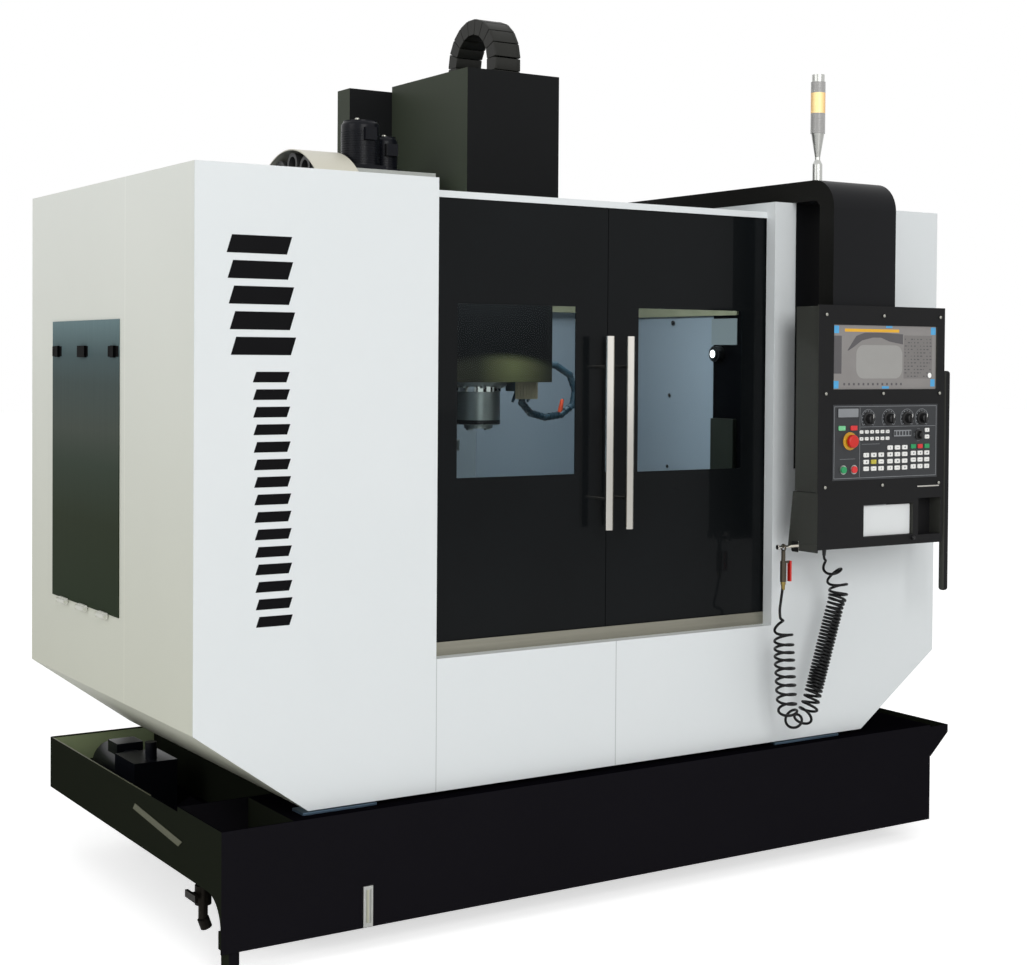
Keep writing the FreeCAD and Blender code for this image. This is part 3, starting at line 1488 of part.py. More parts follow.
def chip_auger():
    """Screw conveyor: a shaft with one helical flight."""
    ends = guard_half_width - gap
    shaft = rod((-ends, auger_y, auger_z), X_AXIS, auger_shaft_radius, 2 * ends)
    start = -trough_end + auger_end
    turns = int(2 * (trough_end - auger_end) / auger_pitch)
    helix = Part.makeLongHelix(auger_pitch, turns * auger_pitch, auger_shaft_radius)
    root, half = auger_shaft_radius - blade_root, blade_thickness / 2
    corners = [V(root, 0, -half), V(auger_radius, 0, -half), V(auger_radius, 0, half),
               V(root, 0, half)]
    blade = Part.makePolygon(corners + corners[:1])
    flight = Part.Wire(helix.Edges).makePipeShell([blade], True, True)
    flight.rotate(V(0, 0, 0), Y_AXIS, 90)
    flight.translate(V(start, auger_y, auger_z))
    return fuse([shaft, flight])


# ================================================================ electrical cabinet
cabinet_x = cabinet_width / 2
cabinet_top = cabinet_bottom + cabinet_height
cabinet_back = column_back + cabinet_depth
cabinet_axis_x = cabinet_x + hinge_barrel_radius + gap
cabinet_axis_y = cabinet_back + gap
cabinet_knuckles = [cabinet_bottom + cabinet_height * share for share in cabinet_hinges]


def electrical_cabinet():
    """Cabinet on the column's back with its mounting plate, drives and hinge pins."""
    body = hollow((-cabinet_x, cabinet_x), (column_back, cabinet_back),
                  (cabinet_bottom, cabinet_top), cabinet_sheet, ("back",))
    plate_y = column_back + cabinet_sheet
    face = plate_y + plate_thickness
    solids = [body, box((-cabinet_x + plate_margin, cabinet_x - plate_margin), (plate_y, face),
                        (cabinet_bottom + plate_margin, cabinet_top - plate_margin))]
    for i in range(drive_count):
        left = -cabinet_x + drive_first + i * drive_pitch
        high, low = cabinet_top - drive_top, cabinet_bottom + filter_bottom
        solids.append(box((left, left + drive_width), (face, face + drive_depth),
                          (high - drive_height, high)))
        solids.append(box((left, left + drive_width), (face, face + filter_depth),
                          (low, low + filter_height)))
    for z in cabinet_knuckles:
        start = z - hinge_knuckle / 2 - gap
        lug = box((cabinet_x, cabinet_axis_x + hinge_barrel_radius),
                  (cabinet_axis_y - hinge_barrel_radius, cabinet_axis_y),
                  (start - 2 * sheet, start))
        eye = rod((cabinet_axis_x, cabinet_axis_y, start - 2 * sheet), Z_AXIS,
                  hinge_barrel_radius, 2 * sheet)
        pin = rod((cabinet_axis_x, cabinet_axis_y, start), Z_AXIS, hinge_pin_radius,
                  hinge_knuckle + gap)
        solids += [lug, eye, pin]
    return fuse(solids)


def cabinet_door():
    """Door of the cabinet with three hinge barrels and the hole of the main switch."""
    y = (cabinet_back + gap, cabinet_back + gap + cabinet_door_thickness)
    leaf = hollow((-cabinet_x, cabinet_x), y, (cabinet_bottom, cabinet_top), cabinet_sheet,
                  ("front",))
    solids = [leaf]
    bores = []
    for z in cabinet_knuckles:
        low = z - hinge_knuckle / 2
        solids.append(rod((cabinet_axis_x, cabinet_axis_y, low), Z_AXIS, hinge_barrel_radius,
                          hinge_knuckle))
        solids.append(box((cabinet_x - cabinet_sheet, cabinet_axis_x),
                          (y[0], cabinet_axis_y + hinge_barrel_radius), (low, low + hinge_knuckle)))
        bores.append(rod((cabinet_axis_x, cabinet_axis_y, low - over), Z_AXIS,
                         hinge_pin_radius + running, hinge_knuckle + 2 * over))
    bores.append(rod((switch_x, y[0], switch_z), Y_AXIS, switch_shaft_radius + running,
                     cabinet_door_thickness + over))
    return cut(fuse(solids), bores)


switch_x = -cabinet_x + switch_inset
switch_z = cabinet_bottom + cabinet_height * switch_share


def main_switch():
    """Rotary main switch with its grip bar."""
    door_face = cabinet_back + gap + cabinet_door_thickness
    start, face = door_face - cabinet_sheet - switch_shaft_depth, door_face + gap
    shaft = rod((switch_x, start, switch_z), Y_AXIS, switch_shaft_radius,
                face + cabinet_sheet + over - start)
    disc = rod((switch_x, face, switch_z), Y_AXIS, switch_radius, switch_thickness)
    half = switch_grip_width / 2
    grip = box((switch_x - half, switch_x + half), (face, face + switch_grip_depth),
               (switch_z - switch_radius, switch_z + switch_radius))
    return fuse([shaft, disc, grip])


for piece in (magazine_cover, magazine_disc, atc_gearbox, atc_motors, atc_arm, coolant_tank,
              drain_valve, drain_lever, sight_glass, coolant_pump, chip_pan, chip_auger,
              electrical_cabinet, cabinet_door, main_switch):
    parts[piece.__name__] = piece()


# ================================================================ pendant arm and signal tower
arm_inner_back = arm_front + arm_thickness
arm_leg_bottom = pendant_top + bezel_rise + 2 * gap
swivel_x = arm_left + arm_width / 2
swivel_y = arm_front + arm_thickness / 2


def arm_outline(inset):
    """Side view of the arm: a leg in front, a bend, and a beam over the roof."""
    outer, inner = arm_outer_radius, arm_inner_radius
    front, top = arm_front + inset, arm_top - inset
    leg_back, under = arm_inner_back - inset, arm_top - arm_thickness + inset
    low, back = arm_leg_bottom + inset, arm_back - inset
    corner = V(0, arm_front + outer, arm_top - outer)
    hollow_corner = V(0, arm_inner_back + inner, arm_top - arm_thickness - inner)
    big, small = outer - inset, inner + inset
    root = math.sqrt(0.5)
    points = [V(0, front, low), V(0, front, corner.z)]
    edges = [Part.LineSegment(*points).toShape(),
             Part.Arc(points[1], corner + V(0, -big * root, big * root),
                      V(0, corner.y, top)).toShape()]
    points = [V(0, corner.y, top), V(0, back, top), V(0, back, under),
              V(0, hollow_corner.y, under)]
    edges += [Part.LineSegment(a, b).toShape() for a, b in zip(points[:-1], points[1:])]
    edges.append(Part.Arc(points[-1], hollow_corner + V(0, -small * root, small * root),
                          V(0, leg_back, hollow_corner.z)).toShape())
    points = [V(0, leg_back, hollow_corner.z), V(0, leg_back, low), V(0, front, low)]
    edges += [Part.LineSegment(a, b).toShape() for a, b in zip(points[:-1], points[1:])]
    return Part.Face(Part.Wire(edges))


def pendant_arm():
    """Hollow arm: it crosses the roof and comes down in front of the right panel."""
    shell = arm_outline(0).extrude(X_AXIS * arm_width)
    void = arm_outline(arm_wall).extrude(X_AXIS * (arm_width - 2 * arm_wall))
    shell.translate(V(arm_left, 0, 0))
    void.translate(V(arm_left + arm_wall, 0, 0))
    pad = rod((swivel_x, swivel_y, arm_leg_bottom), Z_AXIS, swivel_pin_radius + swivel_pad_wall,
              swivel_pad_height)
    hole = rod((swivel_x, swivel_y, arm_leg_bottom - over), Z_AXIS,
               swivel_pin_radius + running, swivel_pad_height + 2 * over)
    from_left, from_back = arm_cable_place
    cable = rod((arm_left + from_left, arm_back - from_back, arm_top - arm_wall - over), Z_AXIS,
                arm_cable_radius, arm_wall + 2 * over)
    return cut(fuse([shell.cut(void), pad]), [hole, cable])


def arm_backing_plate():
    """Dark cover plate on the front panel behind the arm's leg."""
    return box((backing_left, backing_left + backing_width), (-sheet, 0),
               (backing_bottom, enclosure_height))


def signal_tower():
    """Foot, waisted neck and cap of the signal tower, on the arm."""
    def station(height, radius):
        return (radius, arm_top + height)
    profile = [station(0, tower_foot_radius),
               station(tower_waist_height - tower_shoulder, tower_foot_radius),
               station(tower_waist_height, tower_waist_radius),
               station(tower_waist_height + tower_waist_length, tower_waist_radius),
               station(tower_lens_base, tower_lens_radius - tower_lens_lap)]
    points = [V(0, 0, profile[0][1])] + [V(r, 0, z) for r, z in profile]
    points += [V(0, 0, profile[-1][1]), V(0, 0, profile[0][1])]
    neck = Part.Face(Part.makePolygon(points)).revolve(V(0, 0, 0), Z_AXIS, 360)
    cap = rod((0, 0, arm_top + tower_lens_base + sum(tower_bands)), Z_AXIS,
              tower_lens_radius - tower_cap_inset, tower_cap)
    pieces = []
    for solid in (neck, cap):
        solid.translate(V(tower_x, tower_y, 0))
        pieces.append(solid)
    return Part.makeCompound(pieces)


def signal_lens():
    """Three lens rings of the tower, one above the other."""
    rings = []
    low = arm_top + tower_lens_base
    for height in tower_bands:
        rings.append(rod((tower_x, tower_y, low), Z_AXIS, tower_lens_radius, height))
        low += height
    return Part.makeCompound(rings)


# ================================================================ pendant
pendant_right = pendant_left + pendant_width
pendant_back = pendant_front + pendant_depth
bezel_back = pendant_front + bezel_thickness
panel_face = pendant_front - panel_rise
button_x = panel_left + button_place[0]
button_z = panel_bottom + button_place[1]
stop_x = panel_left + stop_place[0]
stop_z = panel_bottom + stop_place[1]
FRONT = V(0, -1, 0)


def gun_hook():
    """Chrome plate on the console's left side with the bar and end stop that hold the gun."""
    eye_inner = gun_eye_radius - gun_eye_wire
    bar_z = gun_eye_z + eye_inner - hook_bar_radius - gap / 2
    end = pendant_left - hook_length
    back = hose_plane_y + hook_bar_radius + sheet
    plate = box((pendant_left - sheet, pendant_left), (back - hook_plate[0], back),
                (bar_z - hook_plate[1] / 2, bar_z + hook_plate[1] / 2))
    bar = rod((end, hose_plane_y, bar_z), X_AXIS, hook_bar_radius, hook_length)
    stop = rod((end, hose_plane_y, bar_z), X_AXIS, hook_bar_radius + sheet, sheet)
    return [plate, bar, stop]


def bezel_and_screws():
    """Front frame of the pendant with its screws, and the windows that are cut into it."""
    right = pendant_left + pendant_width
    bezel = box((pendant_left - bezel_lap, right + bezel_lap), (pendant_front, bezel_back),
                (pendant_split - bezel_lap, pendant_top + bezel_rise))
    depth = (pendant_front - over, bezel_back + over)
    windows = [box((left, left + width), depth, (low, low + height))
               for left, width, low, height in
               ((screen_left, screen_width, screen_bottom, screen_height),
                (panel_left, panel_width, panel_bottom, panel_height))]
    screws = [rod((pendant_left + x, pendant_front, pendant_split + z), FRONT,
                  bezel_screw_radius, bezel_screw_height)
              for z in bezel_screw_z for x in bezel_screw_x]
    return [bezel] + screws, windows


def console_and_openings():
    """Console under the box, and its through opening, recess and hollow."""
    x = (pendant_left, pendant_right)
    top = pendant_split - bezel_lap
    console = prism([(pendant_front, pendant_bottom), (console_back_bottom, pendant_bottom),
                     (console_back_top, top), (pendant_front, top)], "x", x[0], pendant_width)
    opening_right = console_opening_left + console_opening_width
    roof = pendant_split - console_roof
    opening = box((console_opening_left, opening_right),
                  (pendant_front - over, console_back_bottom + over),
                  (console_opening_bottom, console_opening_bottom + console_opening_height))
    recess = box((opening_right + console_recess_gap, x[1] - console_recess_inset),
                 (pendant_front - over, pendant_front + console_recess_depth),
                 (pendant_bottom + console_recess_bottom, roof))
    left_void = box((x[0] + pendant_wall, console_opening_left - pendant_wall),
                    (pendant_front + 2 * pendant_wall, console_back_top - console_back_wall),
                    (pendant_bottom + pendant_wall, roof))
    return console, [opening, recess, left_void]


def grab_bar():
    """Rounded bar beside the pendant, on two ties."""
    y = (pendant_front + grab_bar_setback, pendant_front + grab_bar_setback + grab_bar_width)
    bar = box((grab_bar_left, grab_bar_left + grab_bar_width), y, (grab_bar_bottom, grab_bar_top))
    bar = bar.makeFillet(grab_bar_radius, bar.Edges)
    inset = grab_bar_width / 4
    ties = [box((pendant_right - pendant_wall, grab_bar_left + inset), (y[0] + inset, y[1] - inset),
                (z, z + grab_tie_height))
            for z in (pendant_bottom + grab_tie_height, grab_bar_top - grab_tie_inset)]
    return [bar] + ties


def pendant_box():
    """Pendant housing with its bezel, the open console below and the grab bar."""
    shell = hollow((pendant_left, pendant_right), (bezel_back, pendant_back),
                   (pendant_split, pendant_top), pendant_wall, ("front",))
    frame, windows = bezel_and_screws()
    console, openings = console_and_openings()
    boss = rod((swivel_x, swivel_y, pendant_top), Z_AXIS, swivel_boss_radius,
               arm_leg_bottom - gap - pendant_top)
    pin = rod((swivel_x, swivel_y, pendant_top), Z_AXIS, swivel_pin_radius,
              arm_leg_bottom + swivel_pin_length - pendant_top)
    trim_right = pendant_right - trim_inset
    trim = box((trim_right - trim_width, trim_right), (pendant_front - over, pendant_front),
               (pendant_split + trim_lift, pendant_split + trim_lift + sheet))
    body = fuse([shell, console, boss, pin, trim] + frame + grab_bar() + gun_hook())
    return cut(body, windows + openings)


def display_screen():
    """Display behind the bezel."""
    return box((screen_left - screen_edge, screen_left + screen_width + screen_edge),
               (bezel_back, bezel_back + screen_depth),
               (screen_bottom - screen_edge, screen_bottom + screen_height + screen_edge))


def key_blocks():
    """Every key, lamp and small display that stands on the panel, group by group."""
    keys = []
    for first, pitch, counts, size in key_groups:
        for i in range(counts[0]):
            for j in range(counts[1]):
                x = panel_left + first[0] + i * pitch[0]
                z = panel_bottom + first[1] + j * pitch[1]
                keys.append(box((x - size[0] / 2, x + size[0] / 2),
                                (panel_face - key_height, panel_face),
                                (z - size[1] / 2, z + size[1] / 2)))
    return keys





def rotary_knob(x):
    """Knob on its skirt, with a grip bar across it."""
    z = panel_bottom + knob_line
    skirt = rod((x, panel_face, z), FRONT, knob_radius + knob_skirt_lap, knob_skirt_height)
    knob = rod((x, panel_face, z), FRONT, knob_radius - knob_waist, knob_height)
    grip = box((x - knob_grip_width / 2, x + knob_grip_width / 2),
               (panel_face - knob_height - 2 * over, panel_face),
               (z - knob_radius, z + knob_radius))
    return [skirt, knob, grip]


def control_panel():
    """Key panel with its keys, small display and four rotary knobs."""
    plate = box((panel_left, panel_left + panel_width), (panel_face, bezel_back),
                (panel_bottom, panel_bottom + panel_height))
    backing = box((panel_left - screen_edge, panel_left + panel_width + screen_edge),
                  (bezel_back, bezel_back + panel_backing),
                  (panel_bottom - screen_edge, panel_bottom + panel_height + screen_edge))
    ring = rod((stop_x, panel_face, stop_z), FRONT, stop_radius + stop_ring_lap, stop_ring_height)
    solids = [plate, backing, ring] + key_blocks()
    for x in knob_places:
        solids += rotary_knob(panel_left + x)
    holes = [rod((stop_x, panel_face - stop_ring_height - over, stop_z), Y_AXIS,
                 stop_stem_radius + running, button_hole_depth)]
    for i in range(2):
        holes.append(rod((button_x + i * button_spacing, panel_face - over, button_z), Y_AXIS,
                         button_radius + gap, button_hole_depth))
    return cut(fuse(solids), holes)


def press_button(x):
    """Round push button: a cap in the panel's hole, with its stroke in front of the panel."""
    return rod((x, panel_face - 2 * button_travel, button_z), Y_AXIS, button_radius, button_length)


def emergency_stop():
    """Mushroom button on its stem, with room below for its stroke."""
    face = panel_face - stop_ring_height - stop_travel - gap
    head = rod((stop_x, face, stop_z), FRONT, stop_radius, stop_height)
    outer = [e for e in head.Edges if abs(e.BoundBox.YMin - (face - stop_height)) < running
             and e.BoundBox.YLength < running]
    head = head.makeFillet(stop_rounding, outer)
    stem = rod((stop_x, face - 2 * over, stop_z), Y_AXIS, stop_stem_radius, stop_stem_length)
    return fuse([head, stem])


# ================================================================ work lamp
def work_lamp():
    """Round lamp on the right splash wall."""
    x = guard_half_width - sheet
    lamp_y, lamp_z = lamp_place
    base = rod((x, lamp_y, lamp_z), V(-1, 0, 0), lamp_radius, lamp_depth)
    lens = rod((x - lamp_depth, lamp_y, lamp_z), V(-1, 0, 0), lamp_lens_radius, lamp_lens_depth)
    return fuse([base, lens])


# ================================================================ air gun and its spiral hose
gun_x = hose_stations[-1][0]
gun_bottom = hose_stations[-1][1]
gun_lever_x = gun_x + gun_radius + gun_lever_gap


def air_gun():
    """Slim air gun that hangs by its eye from the hook on the console."""
    def turned(low, high, radius):
        return rod((gun_x, hose_plane_y, gun_bottom + low), Z_AXIS, radius, high - low)
    eye_low = gun_eye_z - gun_eye_radius - gun_bottom
    barrel_low = hose_diameter
    eye = Part.makeTorus(gun_eye_radius, gun_eye_wire, V(gun_x, hose_plane_y, gun_eye_z), X_AXIS)
    arm_z = gun_bottom + barrel_low + gun_barrel - gun_collar
    arm = box((gun_x, gun_lever_x), (hose_plane_y - gun_collar / 2, hose_plane_y + gun_collar / 2),
              (arm_z, arm_z + gun_collar))
    return fuse([turned(0, barrel_low, gun_collar),
                 turned(barrel_low, barrel_low + gun_barrel, gun_radius),
                 turned(barrel_low + gun_barrel, eye_low, gun_collar), eye, arm])


def air_gun_lever():
    """Pressing lever beside the gun, hung on the gun's side arm."""
    top = gun_bottom + hose_diameter + gun_barrel
    return box((gun_lever_x + gap, gun_lever_x + gap + gun_collar),
               (hose_plane_y - gun_collar, hose_plane_y + gun_collar), (top - gun_barrel, top))


hose_step = 1e-3             # share of a station used for directions


def hose_slope(column, station, gentle):
    """Slope of one column at a station: gentle never passes beyond the neighbours' values."""
    last = len(hose_stations) - 1
    here = hose_stations[station][column]
    back = here - hose_stations[max(station - 1, 0)][column]
    ahead = hose_stations[min(station + 1, last)][column] - here
    if not gentle:
        return (back + ahead) / 2
    return 2 * back * ahead / (back + ahead) if back * ahead > 0 else 0.0


def hose_axis(along):
    """X, Z, curl radius and curls at a place along the axis, which counts stations."""
    station = min(int(along), len(hose_stations) - 2)
    t = along - station
    values = []
    for column, gentle in enumerate((False, False, True, True)):
        start = hose_slope(column, station, gentle)
        end = hose_slope(column, station + 1, gentle)
        here, there = (hose_stations[station + k][column] for k in (0, 1))
        values.append((2 * t ** 3 - 3 * t ** 2 + 1) * here + (t ** 3 - 2 * t ** 2 + t) * start
                      + (3 * t ** 2 - 2 * t ** 3) * there + (t ** 3 - t ** 2) * end)
    return values


def hose_point(along):
    """Point of the hose's middle line; along counts stations."""
    x, z, radius, curls = hose_axis(along)
    before = hose_axis(max(along - hose_step, 0.0))
    after = hose_axis(min(along + hose_step, len(hose_stations) - 1))
    dx, dz = after[0] - before[0], after[1] - before[1]
    length = math.hypot(dx, dz)
    angle = 2 * math.pi * curls
    across = radius * math.cos(angle)
    return V(x - across * dz / length, hose_plane_y + radius * math.sin(angle),
             z + across * dx / length)


def hose_samples():
    """Places along the hose: every quarter curl, and each station where it runs straight."""
    places = [0.0]
    for station in range(len(hose_stations) - 1):
        curls = hose_stations[station + 1][3] - hose_stations[station][3]
        count = max(1, math.ceil(curls * 4))
        places += [station + (i + 1) / count for i in range(count)]
    return places


def biarc(p0, t0, p1, t1):
    """Two arcs, or lines, from p0 along t0 to p1 along t1."""
    v, t = p1 - p0, t0 + t1
    a = 2 * (1 - t0.dot(t1))
    if a < 1e-9:
        return [Part.LineSegment(p0, p1).toShape()]
    reach = (-v.dot(t) + math.sqrt(v.dot(t) ** 2 + a * v.dot(v))) / a
    q0, q1 = p0 + t0 * reach, p1 - t1 * reach
    middle = (q0 + q1) * 0.5
    edges = []
    for start, corner, end in ((p0, q0, middle), (middle, q1, p1)):
        chord = (start + end) * 0.5
        rise = corner - chord
        if rise.Length < 1e-5:
            edges.append(Part.LineSegment(start, end).toShape())
            continue
        half = math.acos(min(1.0, (end - start).Length / (2 * (corner - start).Length)))
        radius = (corner - start).Length / math.tan(half)
        bulge = radius * (1 / math.cos(half) - 1)
        edges.append(Part.Arc(start, corner - rise.normalize() * bulge, end).toShape())
    return edges


def air_hose():
    """Spiral hose: one unbroken tube from the console to the gun."""
    places = hose_samples()
    points = [hose_point(place) for place in places]
    tangents = []
    for place in places:
        low = max(place - hose_step, 0.0)
        high = min(place + hose_step, len(hose_stations) - 1)
        tangents.append((hose_point(high) - hose_point(low)).normalize())
    tangents[0] = V(0, 0, -1)
    tangents[-1] = V(0, 0, 1)
    lead = hose_diameter
    first, last = V(points[0]), V(points[-1])
    points[0] = first + V(0, 0, -lead)
    points[-1] = last + V(0, 0, -lead)
    edges = [Part.LineSegment(first, points[0]).toShape()]
    for i in range(len(points) - 1):
        edges += biarc(points[i], tangents[i], points[i + 1], tangents[i + 1])
    edges.append(Part.LineSegment(points[-1], last).toShape())
    path = Part.Wire(edges)
    ring = Part.Wire([Part.makeCircle(hose_diameter / 2, first, V(0, 0, 1))])
    tube = path.makePipeShell([ring], True, False)
    report_hose(path, tube)
    return tube


def report_hose(path, tube):
    """Print the hose's length, volume share and least gap to itself."""
    spots = path.discretize(Distance=4.0)
    least = 1e9
    for i, spot in enumerate(spots):
        for other in spots[i + 8:]:
            least = min(least, spot.distanceToPoint(other))
    share = tube.Volume / (math.pi * (hose_diameter / 2) ** 2 * path.Length)
    print("hose length %.0f mm, volume share %.4f, least gap to itself %.2f mm, valid %s"
          % (path.Length, share, least - hose_diameter, tube.isValid()))


for piece in (pendant_arm, arm_backing_plate, signal_tower, signal_lens, pendant_box,
              display_screen, control_panel, emergency_stop, work_lamp, air_gun,
              air_gun_lever, air_hose):
    parts[piece.__name__] = piece()
parts["start_button"] = press_button(button_x)
parts["stop_button"] = press_button(button_x + button_spacing)


# ================================================================ origin and files
cord_names = ("air_hose", "air_gun", "air_gun_lever")
whole = Part.makeCompound([shape for name, shape in parts.items() if name not in cord_names])
bounds = whole.optimalBoundingBox(False, False)
origin = V(bounds.Center.x, bounds.Center.y, 0)


def write_parts():
    """Write every piece, moved so that the origin is under the machine's middle."""
    os.makedirs("parts", exist_ok=True)
    for name, shape in parts.items():
        moved = shape.copy()
        moved.translate(origin * -1)
        moved.exportStep("parts/%s.step" % name)


write_parts()
print("%d pieces, origin shift %.3f %.3f, size %.1f x %.1f x %.1f"
      % (len(parts), origin.x, origin.y, bounds.XLength, bounds.YLength, bounds.ZLength))
for name, shape in parts.items():
    if not shape.isValid() or len(shape.Solids) == 0:
        print("not a good solid:", name)
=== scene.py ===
# %% [markdown]
# # A machining centre in its sheet-metal enclosure
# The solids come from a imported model, and this script gives them their looks: paint, steel,
# glass, rubber, the curled air hose, the folded covers and the small parts of the control panel.
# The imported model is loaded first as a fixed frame, and nothing here moves or resizes it.

# %% Load the fixed frame
import math

import bmesh
import bpy
import numpy as np
from mathutils import Matrix, Vector


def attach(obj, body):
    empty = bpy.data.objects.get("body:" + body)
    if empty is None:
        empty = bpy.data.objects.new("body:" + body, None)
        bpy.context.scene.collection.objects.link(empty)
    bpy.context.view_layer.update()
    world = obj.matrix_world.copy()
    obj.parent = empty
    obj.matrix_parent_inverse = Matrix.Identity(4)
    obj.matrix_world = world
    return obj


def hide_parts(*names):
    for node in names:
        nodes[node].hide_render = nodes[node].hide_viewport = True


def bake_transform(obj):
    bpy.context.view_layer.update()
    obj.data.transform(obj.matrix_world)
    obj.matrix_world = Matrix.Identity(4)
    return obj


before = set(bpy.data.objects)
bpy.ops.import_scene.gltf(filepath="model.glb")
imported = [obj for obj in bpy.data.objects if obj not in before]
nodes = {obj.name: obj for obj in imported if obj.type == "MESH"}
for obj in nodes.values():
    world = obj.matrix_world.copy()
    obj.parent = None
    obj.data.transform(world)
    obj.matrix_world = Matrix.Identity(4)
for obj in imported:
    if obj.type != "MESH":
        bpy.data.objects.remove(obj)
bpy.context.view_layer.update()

# %% [markdown]
# The machine was drawn in millimetres with X = 0 at the seam between the doors, Y = 0 at the
# outer face of the front panels and Z = 0 on the floor. All new pieces are worked out in those
# drawing coordinates, and one function takes them to the frame's metres.

# %% From drawing millimetres to frame metres
DRAWING_ORIGIN = np.array([6.850, 975.650, 0.0])
LEFT, TO_FRONT, UP = (-1, 0, 0), (0, -1, 0), (0, 0, 1)


def to_frame(points):
    """Frame point = (drawing point - origin of the frame in the drawing) / 1000."""
    return (np.asarray(points, float) - DRAWING_ORIGIN) / 1000.0


def coordinate(axis, millimetres):
    """One coordinate of a drawing point in the frame: axis 0 is X, 1 is Y, 2 is Z."""
    return float(millimetres - DRAWING_ORIGIN[axis]) / 1000.0


# %% [markdown]
# ## Camera
# The photograph was taken from the machine's left front at standing height with a normal lens.
# The camera below stands at the place worked out from the enclosure's edges. Its small vertical
# shift stands for the photograph's crop, so that upright edges stay upright.

# %% The photograph's camera
camera_data = bpy.data.cameras.new("photo_camera")
camera_data.sensor_width = 36.0
camera_data.lens = 60.76
camera_data.shift_y = -0.0859
camera_data.clip_end = 100.0
camera = bpy.data.objects.new("photo_camera", camera_data)
bpy.context.scene.collection.objects.link(camera)
turn = (Matrix.Rotation(math.radians(-32.71), 3, "Z")
        @ Matrix.Rotation(math.radians(90 - 1.17), 3, "X")
        @ Matrix.Rotation(math.radians(0.41), 3, "Z"))
camera.matrix_world = Matrix.Translation(to_frame([-2849, -3905, 1502])) @ turn.to_4x4()
bpy.context.scene.camera = camera

# %% [markdown]
# ## Colours and nodes
# Colours are written as sRGB hex codes, as a paint chart gives them. Blender's shaders want
# linear light, so one function converts them. One more function adds a node of any kind with its
# settings and links. An input without a name of its own is given by its number: the colours of a
# Mix node are 6 and 7 and its share is 0, and a Map Range runs from 1..2 to 3..4.

# %% sRGB hex to linear
def linear(code):
    """Each channel c becomes c / 12.92 up to 0.04045, and ((c + 0.055) / 1.055) ^ 2.4 above."""
    srgb = np.array([int(code[i:i + 2], 16) for i in (1, 3, 5)]) / 255
    rgb = np.where(srgb <= 0.04045, srgb / 12.92, ((srgb + 0.055) / 1.055) ** 2.4)
    return (*rgb.tolist(), 1.0)


# %% A node's inputs, and a new node
def fill(node, inputs):
    """Each input gets a link from a socket or from a node's first live output, linear light from
    a hex code, or else the value itself."""
    for name, value in inputs.items():
        if isinstance(value, bpy.types.Node):
            value = next(socket for socket in value.outputs if socket.enabled)
        if isinstance(value, bpy.types.NodeSocket):
            node.id_data.links.new(value, node.inputs[name])
        else:
            node.inputs[name].default_value = linear(value) if isinstance(value, str) else value


def add(tree, kind, inputs, **settings):
    """New node: the settings are its own properties, and the inputs are filled."""
    node = tree.nodes.new("ShaderNode" + kind)
    for name, value in settings.items():
        setattr(node, name, value)
    fill(node, inputs)
    return node


# %% [markdown]
# ## Finishes
# Every finish starts from a Principled shader whose fixed numbers sit on its own sockets. Two
# patterns are shared by most of them: a slow drift between two near colours, as real paint and
# metal have, and a fine relief. Both read Object coordinates, which are metres on this model,
# so a pattern's size is given in millimetres.

# %% A new material, or the paint of an old one
def finish(name, values):
    """Returns the material, its node tree, its shader, and the Object coordinates."""
    material = bpy.data.materials.new(name)
    material.use_nodes = True
    tree = material.node_tree
    shader = tree.nodes["Principled BSDF"]
    for socket, value in values.items():
        shader.inputs[socket].default_value = value
    place = add(tree, "TexCoord", {}).outputs["Object"]
    return material, tree, shader, place


def paint_of(material):
    """Node tree, shader, Object coordinates, and the colour that the shader has so far."""
    tree = material.node_tree
    shader = tree.nodes["Principled BSDF"]
    place = tree.nodes["Texture Coordinate"].outputs["Object"]
    return tree, shader, place, shader.inputs["Base Color"].links[0].from_socket


# %% Drift of colour and fine relief
def drift(tree, place, first, second, size_mm):
    """Colour between two hex codes, following a noise whose lumps are size_mm wide."""
    noise = add(tree, "TexNoise", {"Vector": place, "Scale": 1000 / size_mm, "Detail": 3.0})
    return add(tree, "Mix", {0: noise, 6: first, 7: second}, data_type="RGBA")


def relief(tree, place, size_mm, depth_mm, strength, stretch=(1, 1, 1)):
    """Surface normal of a noise relief: lumps size_mm wide, divided by stretch along each axis."""
    mapping = add(tree, "Mapping", {"Vector": place, "Scale": stretch})
    noise = add(tree, "TexNoise", {"Vector": mapping.outputs[0], "Scale": 1000 / size_mm,
                                   "Detail": 2.0})
    bump = add(tree, "Bump", {"Height": noise, "Strength": strength, "Distance": depth_mm / 1000})
    return bump.outputs["Normal"], noise


# %% [markdown]
# ### Powder coat
# The enclosure is folded steel sheet with a polyester powder coat: dry powder is sprayed on and
# melted in an oven. It flows out to a satin skin with faint orange peel. Real orange peel is 2
# to 3 mm across. It is drawn 9 mm wide here, because a pixel of the picture covers about 2.5 mm.

# %% Powder-coated sheet
SEAM_HALF_WIDTH = 0.0014


